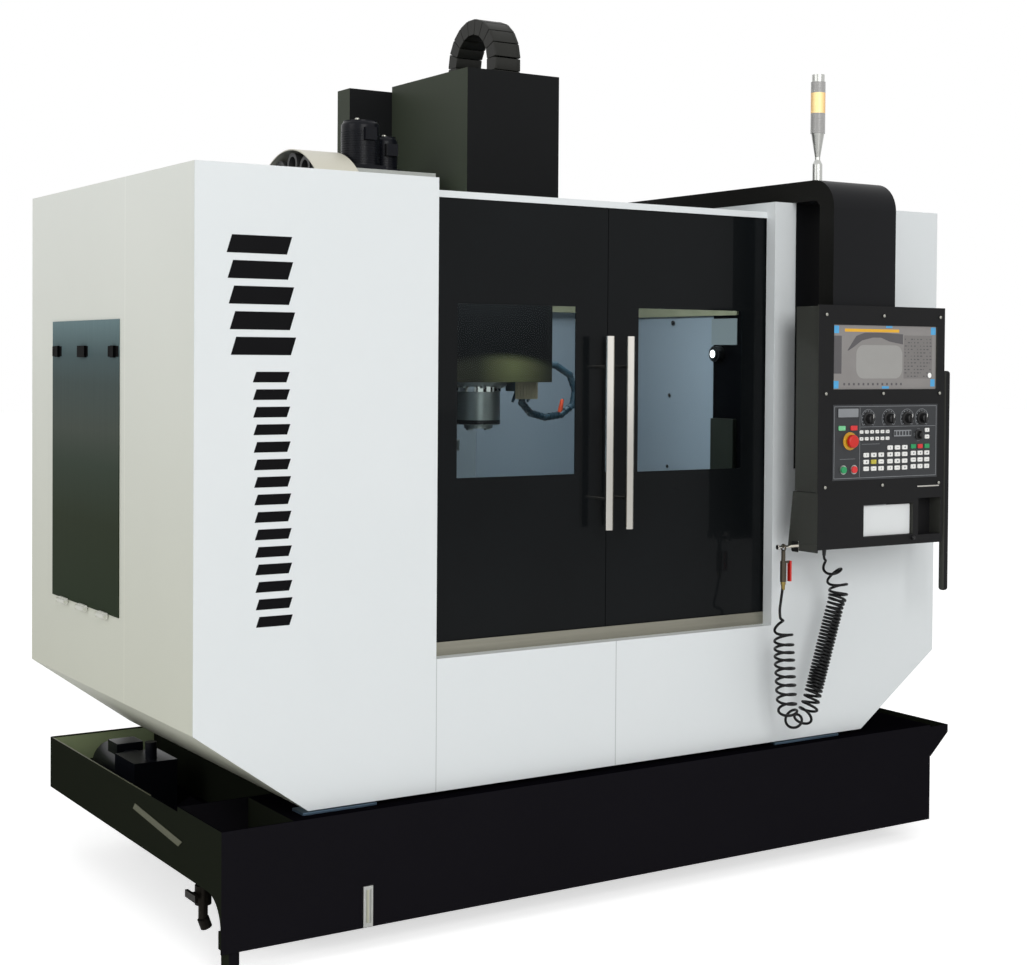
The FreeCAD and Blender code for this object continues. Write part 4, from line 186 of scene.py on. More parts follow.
def powder_coat(name, first, second, roughness, peel_mm=9.0, strength=0.05, seams=(), sheen=0.5,
                seam_code="#b6bbbb"):
    """Satin coat. A seam is (axis, place in drawing millimetres, lowest Z, highest Z)."""
    material, tree, shader, place = finish(name, {"Roughness": roughness, "IOR": 1.5,
                                                  "Specular IOR Level": sheen})
    colour = drift(tree, place, first, second, 420)
    for axis, where, low, high in seams:
        along = add(tree, "SeparateXYZ", {0: place}).outputs
        near = add(tree, "Math", {0: along[axis], 1: coordinate(axis, where),
                                  2: SEAM_HALF_WIDTH}, operation="COMPARE")
        inside = add(tree, "Math", {0: along[2], 1: (low + high) / 2000,
                                    2: (high - low) / 2000}, operation="COMPARE")
        seam = add(tree, "Math", {0: near, 1: inside}, operation="MULTIPLY")
        colour = add(tree, "Mix", {0: seam, 6: colour, 7: seam_code}, data_type="RGBA")
    fill(shader, {"Base Color": colour, "Normal": relief(tree, place, peel_mm, 0.6, strength)[0]})
    return material


SIDE_SEAM = (1, 473.0, 367.0, 1972.0)
BLACK_SHEEN = 0.14
APRON_SEAMS = ((0, 6.0, 367.0, 716.0), (0, -574.0, 358.0, 726.0))
panel_white = powder_coat("white_powder_coat", "#dbe0e1", "#e0e4e5", 0.42)
# The side panels get their own copy of the white coat, warmer than the front's: painted light from
# the olive floor. Their seam is a pale line: a painted highlight along the fold's edge.
side_white = powder_coat("white_powder_coat_side", "#dee1da", "#e3e6df", 0.45,
                         seams=(SIDE_SEAM,), seam_code="#f1f3ec")
apron_white = powder_coat("white_powder_coat_apron", "#dbe0e1", "#e0e4e5", 0.42,
                          seams=APRON_SEAMS)
# The tank's black is raised a little: a painted sheen in place of its gloss.
tank_black = powder_coat("black_powder_coat_tank", "#151417", "#18171b", 0.36, 7.0, 0.08,
                         sheen=0.0)
arm_black = powder_coat("black_powder_coat_arm", "#0a0b0e", "#0d0e11", 0.42, 7.0, 0.06,
                        sheen=BLACK_SHEEN)
pendant_black = powder_coat("black_textured_coat", "#141415", "#19191a", 0.55, 4.0, 0.2,
                            sheen=BLACK_SHEEN)
head_black = powder_coat("black_satin_enamel", "#1e1e19", "#292920", 0.5, 14.0, 0.08,
                         sheen=0.06)
cream_enamel = powder_coat("cream_enamel", "#dcd9c8", "#e3e0d1", 0.38)
cabinet_white = powder_coat("structured_white_coat", "#d9dcdc", "#e0e3e3", 0.6, 5.0, 0.3)
splash_blue = powder_coat("blue_grey_enamel", "#8a97a2", "#97a1aa", 0.34, 160.0, 0.10)
motor_black = powder_coat("black_motor_enamel", "#0c0d11", "#14161d", 0.3, 20.0, 0.08,
                          sheen=BLACK_SHEEN)
cover_black = powder_coat("black_satin_cover", "#101112", "#161718", 0.5, 14.0, 0.08, sheen=0.1)

# %% [markdown]
# The side panels stand over the workshop's olive floor. Their lower part is painted darker and
# olive: painted shade, tinted by the floor's olive light. The colour is multiplied by a tone that
# runs from pale olive at the foot to white at the top.

# %% Painted shade of the side panels by height
SIDE_FOOT, SIDE_TOP = 0.367, 1.972
tree, shader, place, own = paint_of(side_white)
height = add(tree, "SeparateXYZ", {0: place}).outputs[2]
share = add(tree, "MapRange", {0: height, 1: SIDE_FOOT, 2: SIDE_TOP})
painted_foot_shade = add(tree, "Mix", {0: share, 6: "#dfded1", 7: "#ffffff"}, data_type="RGBA")
side_with_painted_shade = add(tree, "Mix", {0: 1.0, 6: own, 7: painted_foot_shade}, data_type="RGBA", blend_type="MULTIPLY")
fill(shader, {"Base Color": side_with_painted_shade})

# %% [markdown]
# The faces of the cover, the pendant, its arm and the tank that look to the left are painted
# lighter and olive: painted light and reflection from the floor and the lamps on the left. The
# tank's upper faces are painted darker than its front: painted shade, for they lie in the
# machine's shade.

# %% Painted light and shade by the way a face looks
def paint_light_by_facing(material, direction, code):
    """Faces whose normal is within 60 degrees of the direction get this colour: painted light where
    it is lighter than the coat, painted shade where darker.
    """
    tree, shader, _, own = paint_of(material)
    normal = add(tree, "NewGeometry", {}).outputs["True Normal"]
    cosine = add(tree, "VectorMath", {0: normal, 1: direction}, operation="DOT_PRODUCT")
    facing = add(tree, "Math", {0: cosine.outputs["Value"], 1: 0.5}, operation="GREATER_THAN")
    colour = add(tree, "Mix", {0: facing, 6: own, 7: code}, data_type="RGBA")
    fill(shader, {"Base Color": colour})


paint_light_by_facing(cover_black, LEFT, "#3e4439")
paint_light_by_facing(pendant_black, LEFT, "#3b3c38")
paint_light_by_facing(arm_black, LEFT, "#141412")
paint_light_by_facing(tank_black, LEFT, "#1f221b")
paint_light_by_facing(tank_black, UP, "#08070b")

# %% [markdown]
# The lamp's light on the head's front is painted into its colour: below a parabola the coat is
# olive, and above it nearly black. The field's upper edge is a parabola: its height falls with the
# square of the distance from the field's middle. Around the lamp's aim the field is a little
# brighter, a painted pool of light.

# %% Head: the painted pool of lamp light on its front
LIT_TOP, LIT_MIDDLE, LIT_BEND, LIT_AIM = 1516.0, -13.0, 0.75, (38, 590, 1473)
tree, shader, place, olive = paint_of(head_black)
along = add(tree, "SeparateXYZ", {0: place}).outputs
aside = add(tree, "Math", {0: along[0], 1: coordinate(0, LIT_MIDDLE)}, operation="SUBTRACT")
bow = add(tree, "Math", {0: aside, 1: 2.0}, operation="POWER")
edge = add(tree, "Math", {0: bow, 1: -LIT_BEND, 2: LIT_TOP / 1000}, operation="MULTIPLY_ADD")
below = add(tree, "Math", {0: edge, 1: along[2]}, operation="SUBTRACT")
away = add(tree, "VectorMath", {0: place, 1: to_frame(LIT_AIM).tolist()}, operation="DISTANCE")
halo = add(tree, "MapRange", {0: away, 1: 0.0, 2: 0.13})
field_colour = add(tree, "Mix", {0: halo, 6: "#55573a", 7: olive}, data_type="RGBA")
within = add(tree, "MapRange", {0: below, 1: -0.006, 2: 0.02})
lit_field = add(tree, "Mix", {0: within, 6: "#08090a", 7: field_colour}, data_type="RGBA")
fill(shader, {"Base Color": lit_field})

# %% [markdown]
# ### Gloss enamel of the doors
# The doors are sheet with a black two-layer enamel, sprayed and baked: a black ground under a
# clear gloss. It mirrors the chrome handles in front of it. The clear layer is the shader's
# coat, and the ground under it is rough and nearly black.

# %% Gloss black doors
door_gloss, tree, shader, place = finish("black_gloss_enamel", {
    "Roughness": 0.3, "Specular IOR Level": 0.05, "Coat Weight": 0.16, "Coat Roughness": 0.035,
    "Coat IOR": 1.45})
fill(shader, {"Base Color": drift(tree, place, "#090b0c", "#101315", 300),
              "Normal": relief(tree, place, 220.0, 0.5, 0.04)[0]})

# %% [markdown]
# ### Steel
# Bright parts are steel worked in different ways, and the way shows in the streaks. Brushed
# sheet has long fine scratches in one direction, ground faces have short ones across, and chrome
# plating has none. The streaks are one noise, stretched along the direction of work. They change
# the roughness and the relief, and the colour only a little.

# %% Streaked steel
def worked_steel(name, first, second, roughness, spread, streak_mm, stretch, strength):
    """Metal whose roughness runs from roughness - spread to roughness + spread along streaks."""
    material, tree, shader, place = finish(name, {"Metallic": 1.0})
    normal, streaks = relief(tree, place, streak_mm, 0.15, strength, stretch)
    colour = add(tree, "Mix", {0: streaks, 6: first, 7: second}, data_type="RGBA")
    duller = add(tree, "MapRange", {0: streaks, 3: roughness - spread, 4: roughness + spread})
    fill(shader, {"Base Color": colour, "Normal": normal, "Roughness": duller})
    return material


sill_steel = worked_steel("brushed_stainless", "#88867a", "#98968a", 0.42, 0.08, 5.0,
                          (0.02, 1, 1), 0.12)
ground_steel = worked_steel("ground_steel", "#a9a9a4", "#bcbcb6", 0.3, 0.08, 4.0,
                            (0.05, 1, 1), 0.10)
turned_steel = worked_steel("turned_steel", "#8b8f8c", "#a3a6a2", 0.4, 0.06, 3.0,
                            (0.3, 0.3, 1), 0.05)
chrome = worked_steel("chrome_plating", "#dedbd3", "#e6e3dc", 0.10, 0.03, 30.0, (1, 1, 0.1), 0.02)
zinc_steel = worked_steel("zinc_plated_steel", "#a3a39c", "#b9b8ae", 0.38, 0.08, 9.0,
                          (1, 1, 1), 0.15)
alloy = worked_steel("anodised_aluminium", "#b9bab6", "#c6c7c3", 0.32, 0.05, 3.0, (1, 1, 0.1), 0.05)
brass = worked_steel("cast_brass", "#8c7a45", "#a08d54", 0.4, 0.1, 8.0, (1, 1, 1), 0.2)
dark_bronze = worked_steel("blackened_bronze", "#1c1a17", "#2b2824", 0.45, 0.1, 8.0, (1, 1, 1), 0.2)
gun_zinc = worked_steel("burnished_die_casting", "#4a443b", "#5c564c", 0.35, 0.08, 6.0,
                        (1, 1, 0.2), 0.1)

# %% [markdown]
# ### Black oxide
# The side hatch is steel sheet with a black oxide skin, made in a hot salt bath and oiled. The
# oxide is a dull mineral, so the sheet doesn't shine like bare metal. Its colour runs from
# blue-grey at the top to olive brown at the foot: a painted reflection, brightest at the top and
# darker towards the foot. What stands proud of the sheet's face has its own colour: the catches
# near the top are black plastic, and the hinge barrels at the foot are painted white.

# %% Painted reflection of the hatch by height
HATCH_FOOT, HATCH_UPPER, HATCH_TOP, HATCH_SKIN_X = 0.807, 1.45, 1.600, -1253.3
HATCH_REFLECTION_FOOT, HATCH_REFLECTION_TOP = "#252f1f", "#6b8184"
HATCH_REFLECTION_STOPS = ((0.3, "#2b3324"), (0.5, "#364036"), (0.62, "#464d46"), (0.78, "#45504e"),
               (0.88, "#4c5c5e"))
oxide_steel, tree, shader, place = finish("black_oxide_steel", {"Roughness": 0.5,
                                                                "Specular IOR Level": 0.02})
normal, streaks = relief(tree, place, 6.0, 0.15, 0.12, (1, 1, 0.02))
along = add(tree, "SeparateXYZ", {0: place}).outputs
# Painted reflection: the colour ramps from olive brown at the foot up to blue-grey at the top.
share = add(tree, "MapRange", {0: along[2], 1: HATCH_FOOT, 2: HATCH_TOP})
painted_reflection = add(tree, "ValToRGB", {0: share})
stops = painted_reflection.color_ramp.elements
stops[0].color, stops[-1].color = linear(HATCH_REFLECTION_FOOT), linear(HATCH_REFLECTION_TOP)
for position, code in HATCH_REFLECTION_STOPS:
    stops.new(position).color = linear(code)
wear = add(tree, "MapRange", {0: streaks, 3: 0.88, 4: 1.12})
worn = add(tree, "VectorMath", {0: painted_reflection.outputs[0], "Scale": wear}, operation="SCALE")
proud = add(tree, "Math", {0: along[0], 1: coordinate(0, HATCH_SKIN_X - 0.5)},
            operation="LESS_THAN")
upper = add(tree, "Math", {0: along[2], 1: HATCH_UPPER}, operation="GREATER_THAN")
catches = add(tree, "Math", {0: proud, 1: upper}, operation="MULTIPLY")
foot = add(tree, "Math", {0: along[2], 1: HATCH_FOOT}, operation="LESS_THAN")
lower_proud = add(tree, "Math", {0: proud, 1: catches}, operation="SUBTRACT")
barrels = add(tree, "Math", {0: foot, 1: lower_proud}, operation="MAXIMUM")
with_catches = add(tree, "Mix", {0: catches, 6: worn.outputs[0], 7: "#060607"}, data_type="RGBA")
with_both = add(tree, "Mix", {0: barrels, 6: with_catches, 7: "#d6d7ce"}, data_type="RGBA")
fill(shader, {"Base Color": with_both, "Normal": normal})

# %% [markdown]
# ### Painted castings
# Bed, column and saddle are grey iron, poured in sand. The skin is rough from the sand's grains,
# and filler and a thick grey-white coat soften it. The relief is drawn 12 mm wide with a fine
# second layer. The column's front is a little darker and bluer, in the blue-grey of the splash
# walls.

# %% Painted iron
def painted_iron(name, first, second, roughness):
    """Thick enamel over a sand-cast skin: two reliefs, the fine one on top of the coarse one."""
    material, tree, shader, place = finish(name, {"Roughness": roughness, "IOR": 1.5})
    normal, _ = relief(tree, place, 12.0, 1.2, 0.35)
    fine = add(tree, "TexNoise", {"Vector": place, "Scale": 320.0, "Detail": 2.0})
    top = add(tree, "Bump", {"Height": fine, "Strength": 0.15, "Distance": 0.0005,
                             "Normal": normal})
    fill(shader, {"Base Color": drift(tree, place, first, second, 150),
                  "Normal": top.outputs["Normal"]})
    return material


COLUMN_FRONT = 1240.0
iron_grey = painted_iron("painted_grey_iron", "#b8bbb6", "#c3c6c1", 0.5)
column_paint = painted_iron("painted_column_iron", "#b8bbb6", "#c3c6c1", 0.5)
tree, shader, place, grey = paint_of(column_paint)
depth = add(tree, "SeparateXYZ", {0: place}).outputs[1]
front = add(tree, "Math", {0: depth, 1: coordinate(1, COLUMN_FRONT + 3)}, operation="LESS_THAN")
bluer_front = add(tree, "Mix", {0: front, 6: grey, 7: "#8d979e"}, data_type="RGBA")
fill(shader, {"Base Color": bluer_front})

# %% [markdown]
# ### Plastics, rubber and glass
# Hose, keys, lenses and window panes have a smooth moulded skin. Rubber is dull and slightly
# dusty, polyurethane hose is glossy, and the nylon of the cable chain lies between them.

# %% Moulded plastics and rubber
def moulded(name, first, second, roughness, grain_mm=2.5, strength=0.08, sheen=0.5):
    """Moulded skin: near-even colour and a fine spark-eroded grain, drawn grain_mm wide."""
    material, tree, shader, place = finish(name, {"IOR": 1.46, "Roughness": roughness,
                                                  "Specular IOR Level": sheen})
    fill(shader, {"Base Color": drift(tree, place, first, second, 60),
                  "Normal": relief(tree, place, grain_mm, 0.2, strength)[0]})
    return material


hose_black = moulded("polyurethane_hose", "#070708", "#0c0c0d", 0.32, 6.0, 0.03, 0.25)
nylon = moulded("glass_filled_nylon", "#1b1c18", "#23231f", 0.5, 3.0, 0.15, 0.3)
bellows_cloth = moulded("coated_bellows_cloth", "#1a1a1b", "#242425", 0.7, 1.5, 0.4)
key_white = moulded("white_key_caps", "#e6e6e2", "#efefec", 0.4)
film_dark = moulded("dark_keypad_film", "#26282b", "#2c2e31", 0.45, 1.2, 0.15)
ink_grey = moulded("grey_screen_print", "#7d8083", "#8a8d90", 0.5)
black_plastic = moulded("black_moulded_plastic", "#0e0e0f", "#151516", 0.4)
stop_red = moulded("red_moulded_plastic", "#c41e16", "#d02a20", 0.3)
lamp_red = moulded("red_lens", "#d22a2c", "#dd3a3a", 0.25)
start_green = moulded("green_moulded_plastic", "#1f8f55", "#2a9d62", 0.3)
lamp_green = moulded("pale_green_lens", "#6fc28a", "#7fcd98", 0.25)
ring_yellow = moulded("yellow_ring", "#c8931a", "#d39f25", 0.35)
key_yellow = moulded("yellow_key_cap", "#b9ad3c", "#c4b84a", 0.4)
valve_orange = moulded("orange_lever", "#c8421c", "#d44f28", 0.4)
nozzle_teal = moulded("teal_jointed_hose", "#1d3440", "#26404d", 0.35)
nozzle_beige = moulded("beige_nozzle_block", "#9b8e72", "#b2a587", 0.5, 9.0, 0.5)
pot_grey = moulded("grey_tool_pots", "#3c3d3d", "#484949", 0.5)
bar_black = moulded("black_vinyl_film", "#030305", "#060608", 0.4, sheen=0.1)

# %% Window panes: laminated glass, thin enough that it hardly bends the light
pane_glass, tree, shader, place = finish("laminated_glass", {
    "Transmission Weight": 1.0, "IOR": 1.12, "Roughness": 0.0, "Base Color": linear("#dfe8ea")})
fill(shader, {"Normal": relief(tree, place, 400.0, 0.2, 0.02)[0]})

# %% [markdown]
# ### Lights on the machine
# The signal tower's lens and the lamp inside the enclosure shine of their own. The lens is ribbed
# and grey, and its middle part is lit amber: pale where one looks straight into it, deep orange
# at its edges. Of the inner lamp's lens only the middle, within 13 mm of its axis, is bright.

# %% Signal lens with its lit middle part, and lamp inside the enclosure
LENS_LOW, LENS_HIGH, LAMP_LENS = 2.255, 2.317, (801, 564, 1523)
signal_lens, tree, shader, place = finish("ribbed_signal_lens", {"Roughness": 0.25,
                                                                 "Emission Strength": 0.3})
height = add(tree, "SeparateXYZ", {0: place}).outputs[2]
lit_part = add(tree, "Math", {0: height, 1: (LENS_LOW + LENS_HIGH) / 2,
                              2: (LENS_HIGH - LENS_LOW) / 2}, operation="COMPARE")
edge = add(tree, "LayerWeight", {"Blend": 0.6}).outputs["Facing"]
amber = add(tree, "Mix", {0: edge, 6: "#ffe9a6", 7: "#b8701f"}, data_type="RGBA")
rings = add(tree, "TexWave", {"Vector": place, "Scale": 60.0}, bands_direction="Z")
bump = add(tree, "Bump", {"Height": rings, "Strength": 0.3, "Distance": 0.001})
colour = add(tree, "Mix", {0: lit_part, 6: "#a5a4a2", 7: amber}, data_type="RGBA")
glow = add(tree, "Mix", {0: lit_part, 6: "#000000", 7: amber}, data_type="RGBA")
fill(shader, {"Base Color": colour, "Emission Color": glow, "Normal": bump.outputs["Normal"]})
lamp_glass, tree, shader, place = finish("frosted_lamp", {"Roughness": 0.4,
                                                          "Emission Color": linear("#ffffff")})
away = add(tree, "VectorMath", {0: place, 1: to_frame(LAMP_LENS).tolist()}, operation="DISTANCE")
lens = add(tree, "Math", {0: away, 1: 0.013}, operation="LESS_THAN")
fill(shader, {"Base Color": add(tree, "Mix", {0: lens, 6: "#1c1d1e", 7: "#ffffff"},
                                data_type="RGBA"),
              "Emission Strength": add(tree, "Math", {0: lens, 1: 2.0}, operation="MULTIPLY")})

# %% [markdown]
# ## Dress the solids
# A solid whose shape is right keeps its mesh and gets its finish through its material slot.

# %% Give each solid its finish
DRESS = {
    panel_white: "left_front_panel right_front_panel door_header",
    side_white: "left_side_panel right_side_panel",
    apron_white: "front_apron",
    oxide_steel: "side_hatch",
    sill_steel: "door_sill",
    splash_blue: "splash_guard chip_pan",
    door_gloss: "left_door right_door",
    pane_glass: "left_window right_window",
    chrome: "left_handle right_handle",
    iron_grey: "base_casting saddle atc_gearbox",
    column_paint: "column_casting",
    zinc_steel: "levelling_pads chip_auger",
    ground_steel: "linear_guides work_table atc_arm",
    turned_steel: "spindle_cartridge spindle",
    motor_black: "axis_drives spindle_motor atc_motors coolant_pump",
    head_black: "head_casting",
    cover_black: "head_cover",
    nozzle_teal: "coolant_nozzle",
    nylon: "cable_chain",
    bellows_cloth: "y_bellows z_bellows",
    cream_enamel: "magazine_cover",
    pot_grey: "magazine_disc",
    tank_black: "coolant_tank",
    dark_bronze: "drain_valve drain_lever",
    alloy: "sight_glass signal_tower",
    gun_zinc: "air_gun",
    cabinet_white: "electrical_cabinet cabinet_door",
    stop_red: "main_switch emergency_stop air_gun_lever",
    signal_lens: "signal_lens",
    arm_black: "pendant_arm arm_backing_plate",
    pendant_black: "pendant_box",
    black_plastic: "display_screen",
    film_dark: "control_panel",
    lamp_glass: "work_lamp",
    start_green: "start_button",
    lamp_red: "stop_button",
    hose_black: "air_hose",
}
dressed = [(material, name) for material, names in DRESS.items() for name in names.split()]
for material, name in dressed:
    nodes[name].data.materials.clear()
    nodes[name].data.materials.append(material)
print("solids without a finish:", sorted(set(nodes) - {name for _, name in dressed}))

# %% [markdown]
# ## The curled air hose
# A spiral air hose is polyurethane tube, wound hot on a mandrel so that it springs back into
# curls. It leaves the console's underside, runs down slanting in tight curls, turns back at the
# bottom in loose loops, and climbs in wider ones to the air gun on its hook. Its middle line is
# a helix of changing radius around a gentle axis. The axis is given by a few stations: X, Z,
# radius of the curls, and curls wound so far. The tube is one NURBS spline through the helix's
# own points, 16 to a turn.

# %% Stations of the hose's axis, in drawing millimetres
HOSE_PLANE_Y = -100.0
HOSE_DIAMETER = 8.0
POINTS_PER_CURL = 16
HOSE_STATIONS = np.array([
    (690, 958, 0, 0), (690, 920, 0, 0), (713, 890, 21, 0.5), (740, 856, 28, 1.3),
    (748, 812, 26, 2.8), (735, 772, 23, 6), (707, 688, 23, 14.5), (679, 604, 23, 23.2),
    (651, 520, 23, 31.9), (630, 470, 25, 34.4), (592, 444, 22, 35.6), (556, 476, 26, 36.8),
    (547, 534, 28, 38.8), (540, 620, 28, 42.2), (533, 706, 26, 45.7), (514, 758, 6, 46.7),
    (523, 802, 0, 46.7), (531, 852, 0, 46.7)], float)


def station_slopes(values):
    """Slope at each station: the mean of the steps before and after it for X and Z, and their
    harmonic mean for radius and curls, which never overshoots."""
    steps = np.vstack([np.zeros(4), np.diff(values, axis=0), np.zeros(4)])
    before, after = steps[:-1], steps[1:]
    plain = (before + after) / 2
    product = before * after
    total = np.where(product > 0, before + after, 1.0)
    gentle = np.where(product > 0, 2 * product / total, 0.0)
    return np.hstack([plain[:, :2], gentle[:, 2:]])


HOSE_SLOPES = station_slopes(HOSE_STATIONS)


def hose_axis(along):
    """Cubic Hermite blend of the two stations around each place; along counts stations."""
    index = np.minimum(along.astype(int), len(HOSE_STATIONS) - 2)
    t = (along - index)[:, None]
    p0, p1 = HOSE_STATIONS[index], HOSE_STATIONS[index + 1]
    m0, m1 = HOSE_SLOPES[index], HOSE_SLOPES[index + 1]
    return ((2 * t**3 - 3 * t**2 + 1) * p0 + (t**3 - 2 * t**2 + t) * m0
            + (3 * t**2 - 2 * t**3) * p1 + (t**3 - t**2) * m1)


def hose_line(along):
    """Point = axis point + radius * (cos(turn) across the axis in its plane + sin(turn) in Y)."""
    last = len(HOSE_STATIONS) - 1
    here = hose_axis(along)
    ahead = hose_axis(np.clip(along + 1e-3, 0, last)) - hose_axis(np.clip(along - 1e-3, 0, last))
    direction = ahead[:, :2] / np.linalg.norm(ahead[:, :2], axis=1, keepdims=True)
    turn = 2 * np.pi * here[:, 3]
    across = here[:, 2] * np.cos(turn)
    return np.column_stack([here[:, 0] - across * direction[:, 1],
                            HOSE_PLANE_Y + here[:, 2] * np.sin(turn),
                            here[:, 1] + across * direction[:, 0]])


# %% The hose as one NURBS spline
places = [np.array([0.0])]
for station, curls in enumerate(np.diff(HOSE_STATIONS[:, 3])):
    count = max(2, math.ceil(curls * POINTS_PER_CURL))
    places.append(station + np.arange(1, count + 1) / count)
hose_points = to_frame(hose_line(np.concatenate(places)))
hose_data = bpy.data.curves.new("curled_air_hose", "CURVE")
hose_data.dimensions = "3D"
spline = hose_data.splines.new("NURBS")
spline.points.add(len(hose_points) - 1)
spline.points.foreach_set("co", np.column_stack([hose_points, np.ones(len(hose_points))]).ravel())
spline.order_u = 3
spline.use_endpoint_u = True
hose_data.resolution_u = 3
hose_data.bevel_depth = HOSE_DIAMETER / 2000
hose_data.bevel_resolution = 3
hose_data.use_fill_caps = True
hose_data.materials.append(hose_black)
hose = bpy.data.objects.new("curled_air_hose", hose_data)
bpy.context.scene.collection.objects.link(hose)
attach(hose, "pendant")
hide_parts("air_hose")
print("hose: points", len(hose_points), "sum of runs",
      round(float(np.linalg.norm(np.diff(hose_points, axis=0), axis=1).sum()), 3), "m")

# %% [markdown]
# ## Surfaces as grids of points
# New pieces are worked out as grids: a piece is one or more patches, and a patch is an array of
# points, rows by columns. A lathe turns a profile, a lofted plate stacks outlines, and a folded
# cover is a function of two parameters. One function makes the mesh and puts it on its body.

# %% Patches to a mesh
def patch(points):
    """Closed shell of a grid of points: each row is a ring, and lids close the first and last."""
    points = np.asarray(points, float)
    index = np.arange(points[..., 0].size).reshape(points.shape[:2])
    ring = np.hstack([index, index[:, :1]])
    quads = np.stack([ring[:-1, :-1], ring[:-1, 1:], ring[1:, 1:], ring[1:, :-1]], -1)
    lids = [index[0, ::-1].tolist(), index[-1].tolist()]
    return points.reshape(-1, 3), quads.reshape(-1, 4).tolist() + lids


def make(name, patches, material, body="pendant", sharp=35.0):
    """One object of many patches, with normals outwards; most pieces sit on the key panel."""
    vertices, faces, start = [], [], 0
    for points, quads in patches:
        vertices.append(points)
        faces += [[start + i for i in face] for face in quads]
        start += len(points)
    mesh = bpy.data.meshes.new(name)
    mesh.from_pydata(to_frame(np.concatenate(vertices)).tolist(), [], faces)
    work = bmesh.new()
    work.from_mesh(mesh)
    bmesh.ops.remove_doubles(work, verts=work.verts, dist=1e-6)
    bmesh.ops.recalc_face_normals(work, faces=work.faces)
    work.to_mesh(mesh)
    work.free()
    mesh.polygons.foreach_set("use_smooth", np.ones(len(mesh.polygons), bool))
    mesh.set_sharp_from_angle(angle=math.radians(sharp))
    mesh.materials.append(material)
    piece = bpy.data.objects.new(name, mesh)
    bpy.context.scene.collection.objects.link(piece)
    if body:
        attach(piece, body)
    return piece


def bend_with(piece, body, start, end, node=None):
    """The piece stands for the node, which is hidden, and its place is baked into its mesh. The
    body and the two places are not used.
    """
    if node:
        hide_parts(node)
    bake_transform(piece)


# %% Outlines, lathes and lofted plates
def rounded_outline(width, height, radius, steps=3):
    """Rounded rectangle around zero: four corner arcs, each with steps + 1 points."""
    radius = min(radius, width / 2 - 1e-3, height / 2 - 1e-3)
    angles = np.linspace(0, np.pi / 2, steps + 1)
    corners = [(1, 1, 0), (-1, 1, 1), (-1, -1, 2), (1, -1, 3)]
    arcs = [np.column_stack([sx * (width / 2 - radius) + radius * np.cos(angles + k * np.pi / 2),
                             sy * (height / 2 - radius) + radius * np.sin(angles + k * np.pi / 2)])
            for sx, sy, k in corners]
    return np.concatenate(arcs)


def axes_for(direction):
    """Two directions square to the given one, right-handed with it."""
    along = np.asarray(direction, float) / np.linalg.norm(direction)
    helper = np.array([0, 0, 1.0]) if abs(along[2]) < 0.9 else np.array([1.0, 0, 0])
    across = np.cross(helper, along)
    across /= np.linalg.norm(across)
    return across, np.cross(along, across), along


def turned(origin, direction, profile, steps=32):
    """Lathe: for each (distance, radius) of the profile, a circle square to the direction."""
    across, up, along = axes_for(direction)
    angle = np.linspace(0, 2 * np.pi, steps, endpoint=False)
    circle = np.cos(angle)[:, None] * across + np.sin(angle)[:, None] * up
    distance, radius = np.asarray(profile, float).T
    points = (np.asarray(origin, float) + distance[:, None, None] * along
              + radius[:, None, None] * circle)
    return patch(points)


def plate(centre, size, thickness, direction, radius=2.0, edge=0.6, steps=3):
    """Rounded plate from its back face: three rings, with the front one drawn in by the edge."""
    across, up, along = axes_for(direction)
    rings = []
    for depth, inset in ((0, 0), (thickness - edge, 0), (thickness, edge)):
        outline = rounded_outline(size[0] - 2 * inset, size[1] - 2 * inset, radius, steps)
        rings.append(np.asarray(centre, float) + depth * along
                     + outline[:, :1] * across + outline[:, 1:] * up)
    return patch(np.array(rings))


# %% [markdown]
# ## Cable chain
# The chain carries the head's cables over a bend. It is a row of closed nylon links: two side
# plates, an outer lid and an inner one. The same link is placed again and again along the path:
# up behind the head, over a half circle, and down to the cover. In the half circle a link is
# longer outside than inside, in proportion to the radius, so that the lids nearly touch.

# %% Path of the chain: up, over the arch, and down
CHAIN_X = (60.0, 156.0)
CHAIN_FRONT, CHAIN_BACK, CHAIN_TOP = 746.0, 1036.0, 2594.0
CHAIN_OUTER, CHAIN_THICK = 145.0, 52.0
CHAIN_FEET = (2375.3, 2170.0)
LINK_LENGTH, LINK_SHARE = 40, 0.97
chain_centre = np.array([CHAIN_FRONT + CHAIN_OUTER, CHAIN_TOP - CHAIN_OUTER])
chain_middle = CHAIN_OUTER - CHAIN_THICK / 2


def chain_place(distance):
    """Y, Z and travel angle at a distance along the middle line, from the column's foot on."""
    rise = chain_centre[1] - CHAIN_FEET[1]
    arc = np.pi * chain_middle
    turn = np.clip((distance - rise) / chain_middle, 0, np.pi)
    y = chain_centre[0] + chain_middle * np.cos(turn)
    z = (chain_centre[1] + chain_middle * np.sin(turn) - np.clip(rise - distance, 0, None)
         - np.clip(distance - rise - arc, 0, None))
    return y, z, turn + np.pi / 2


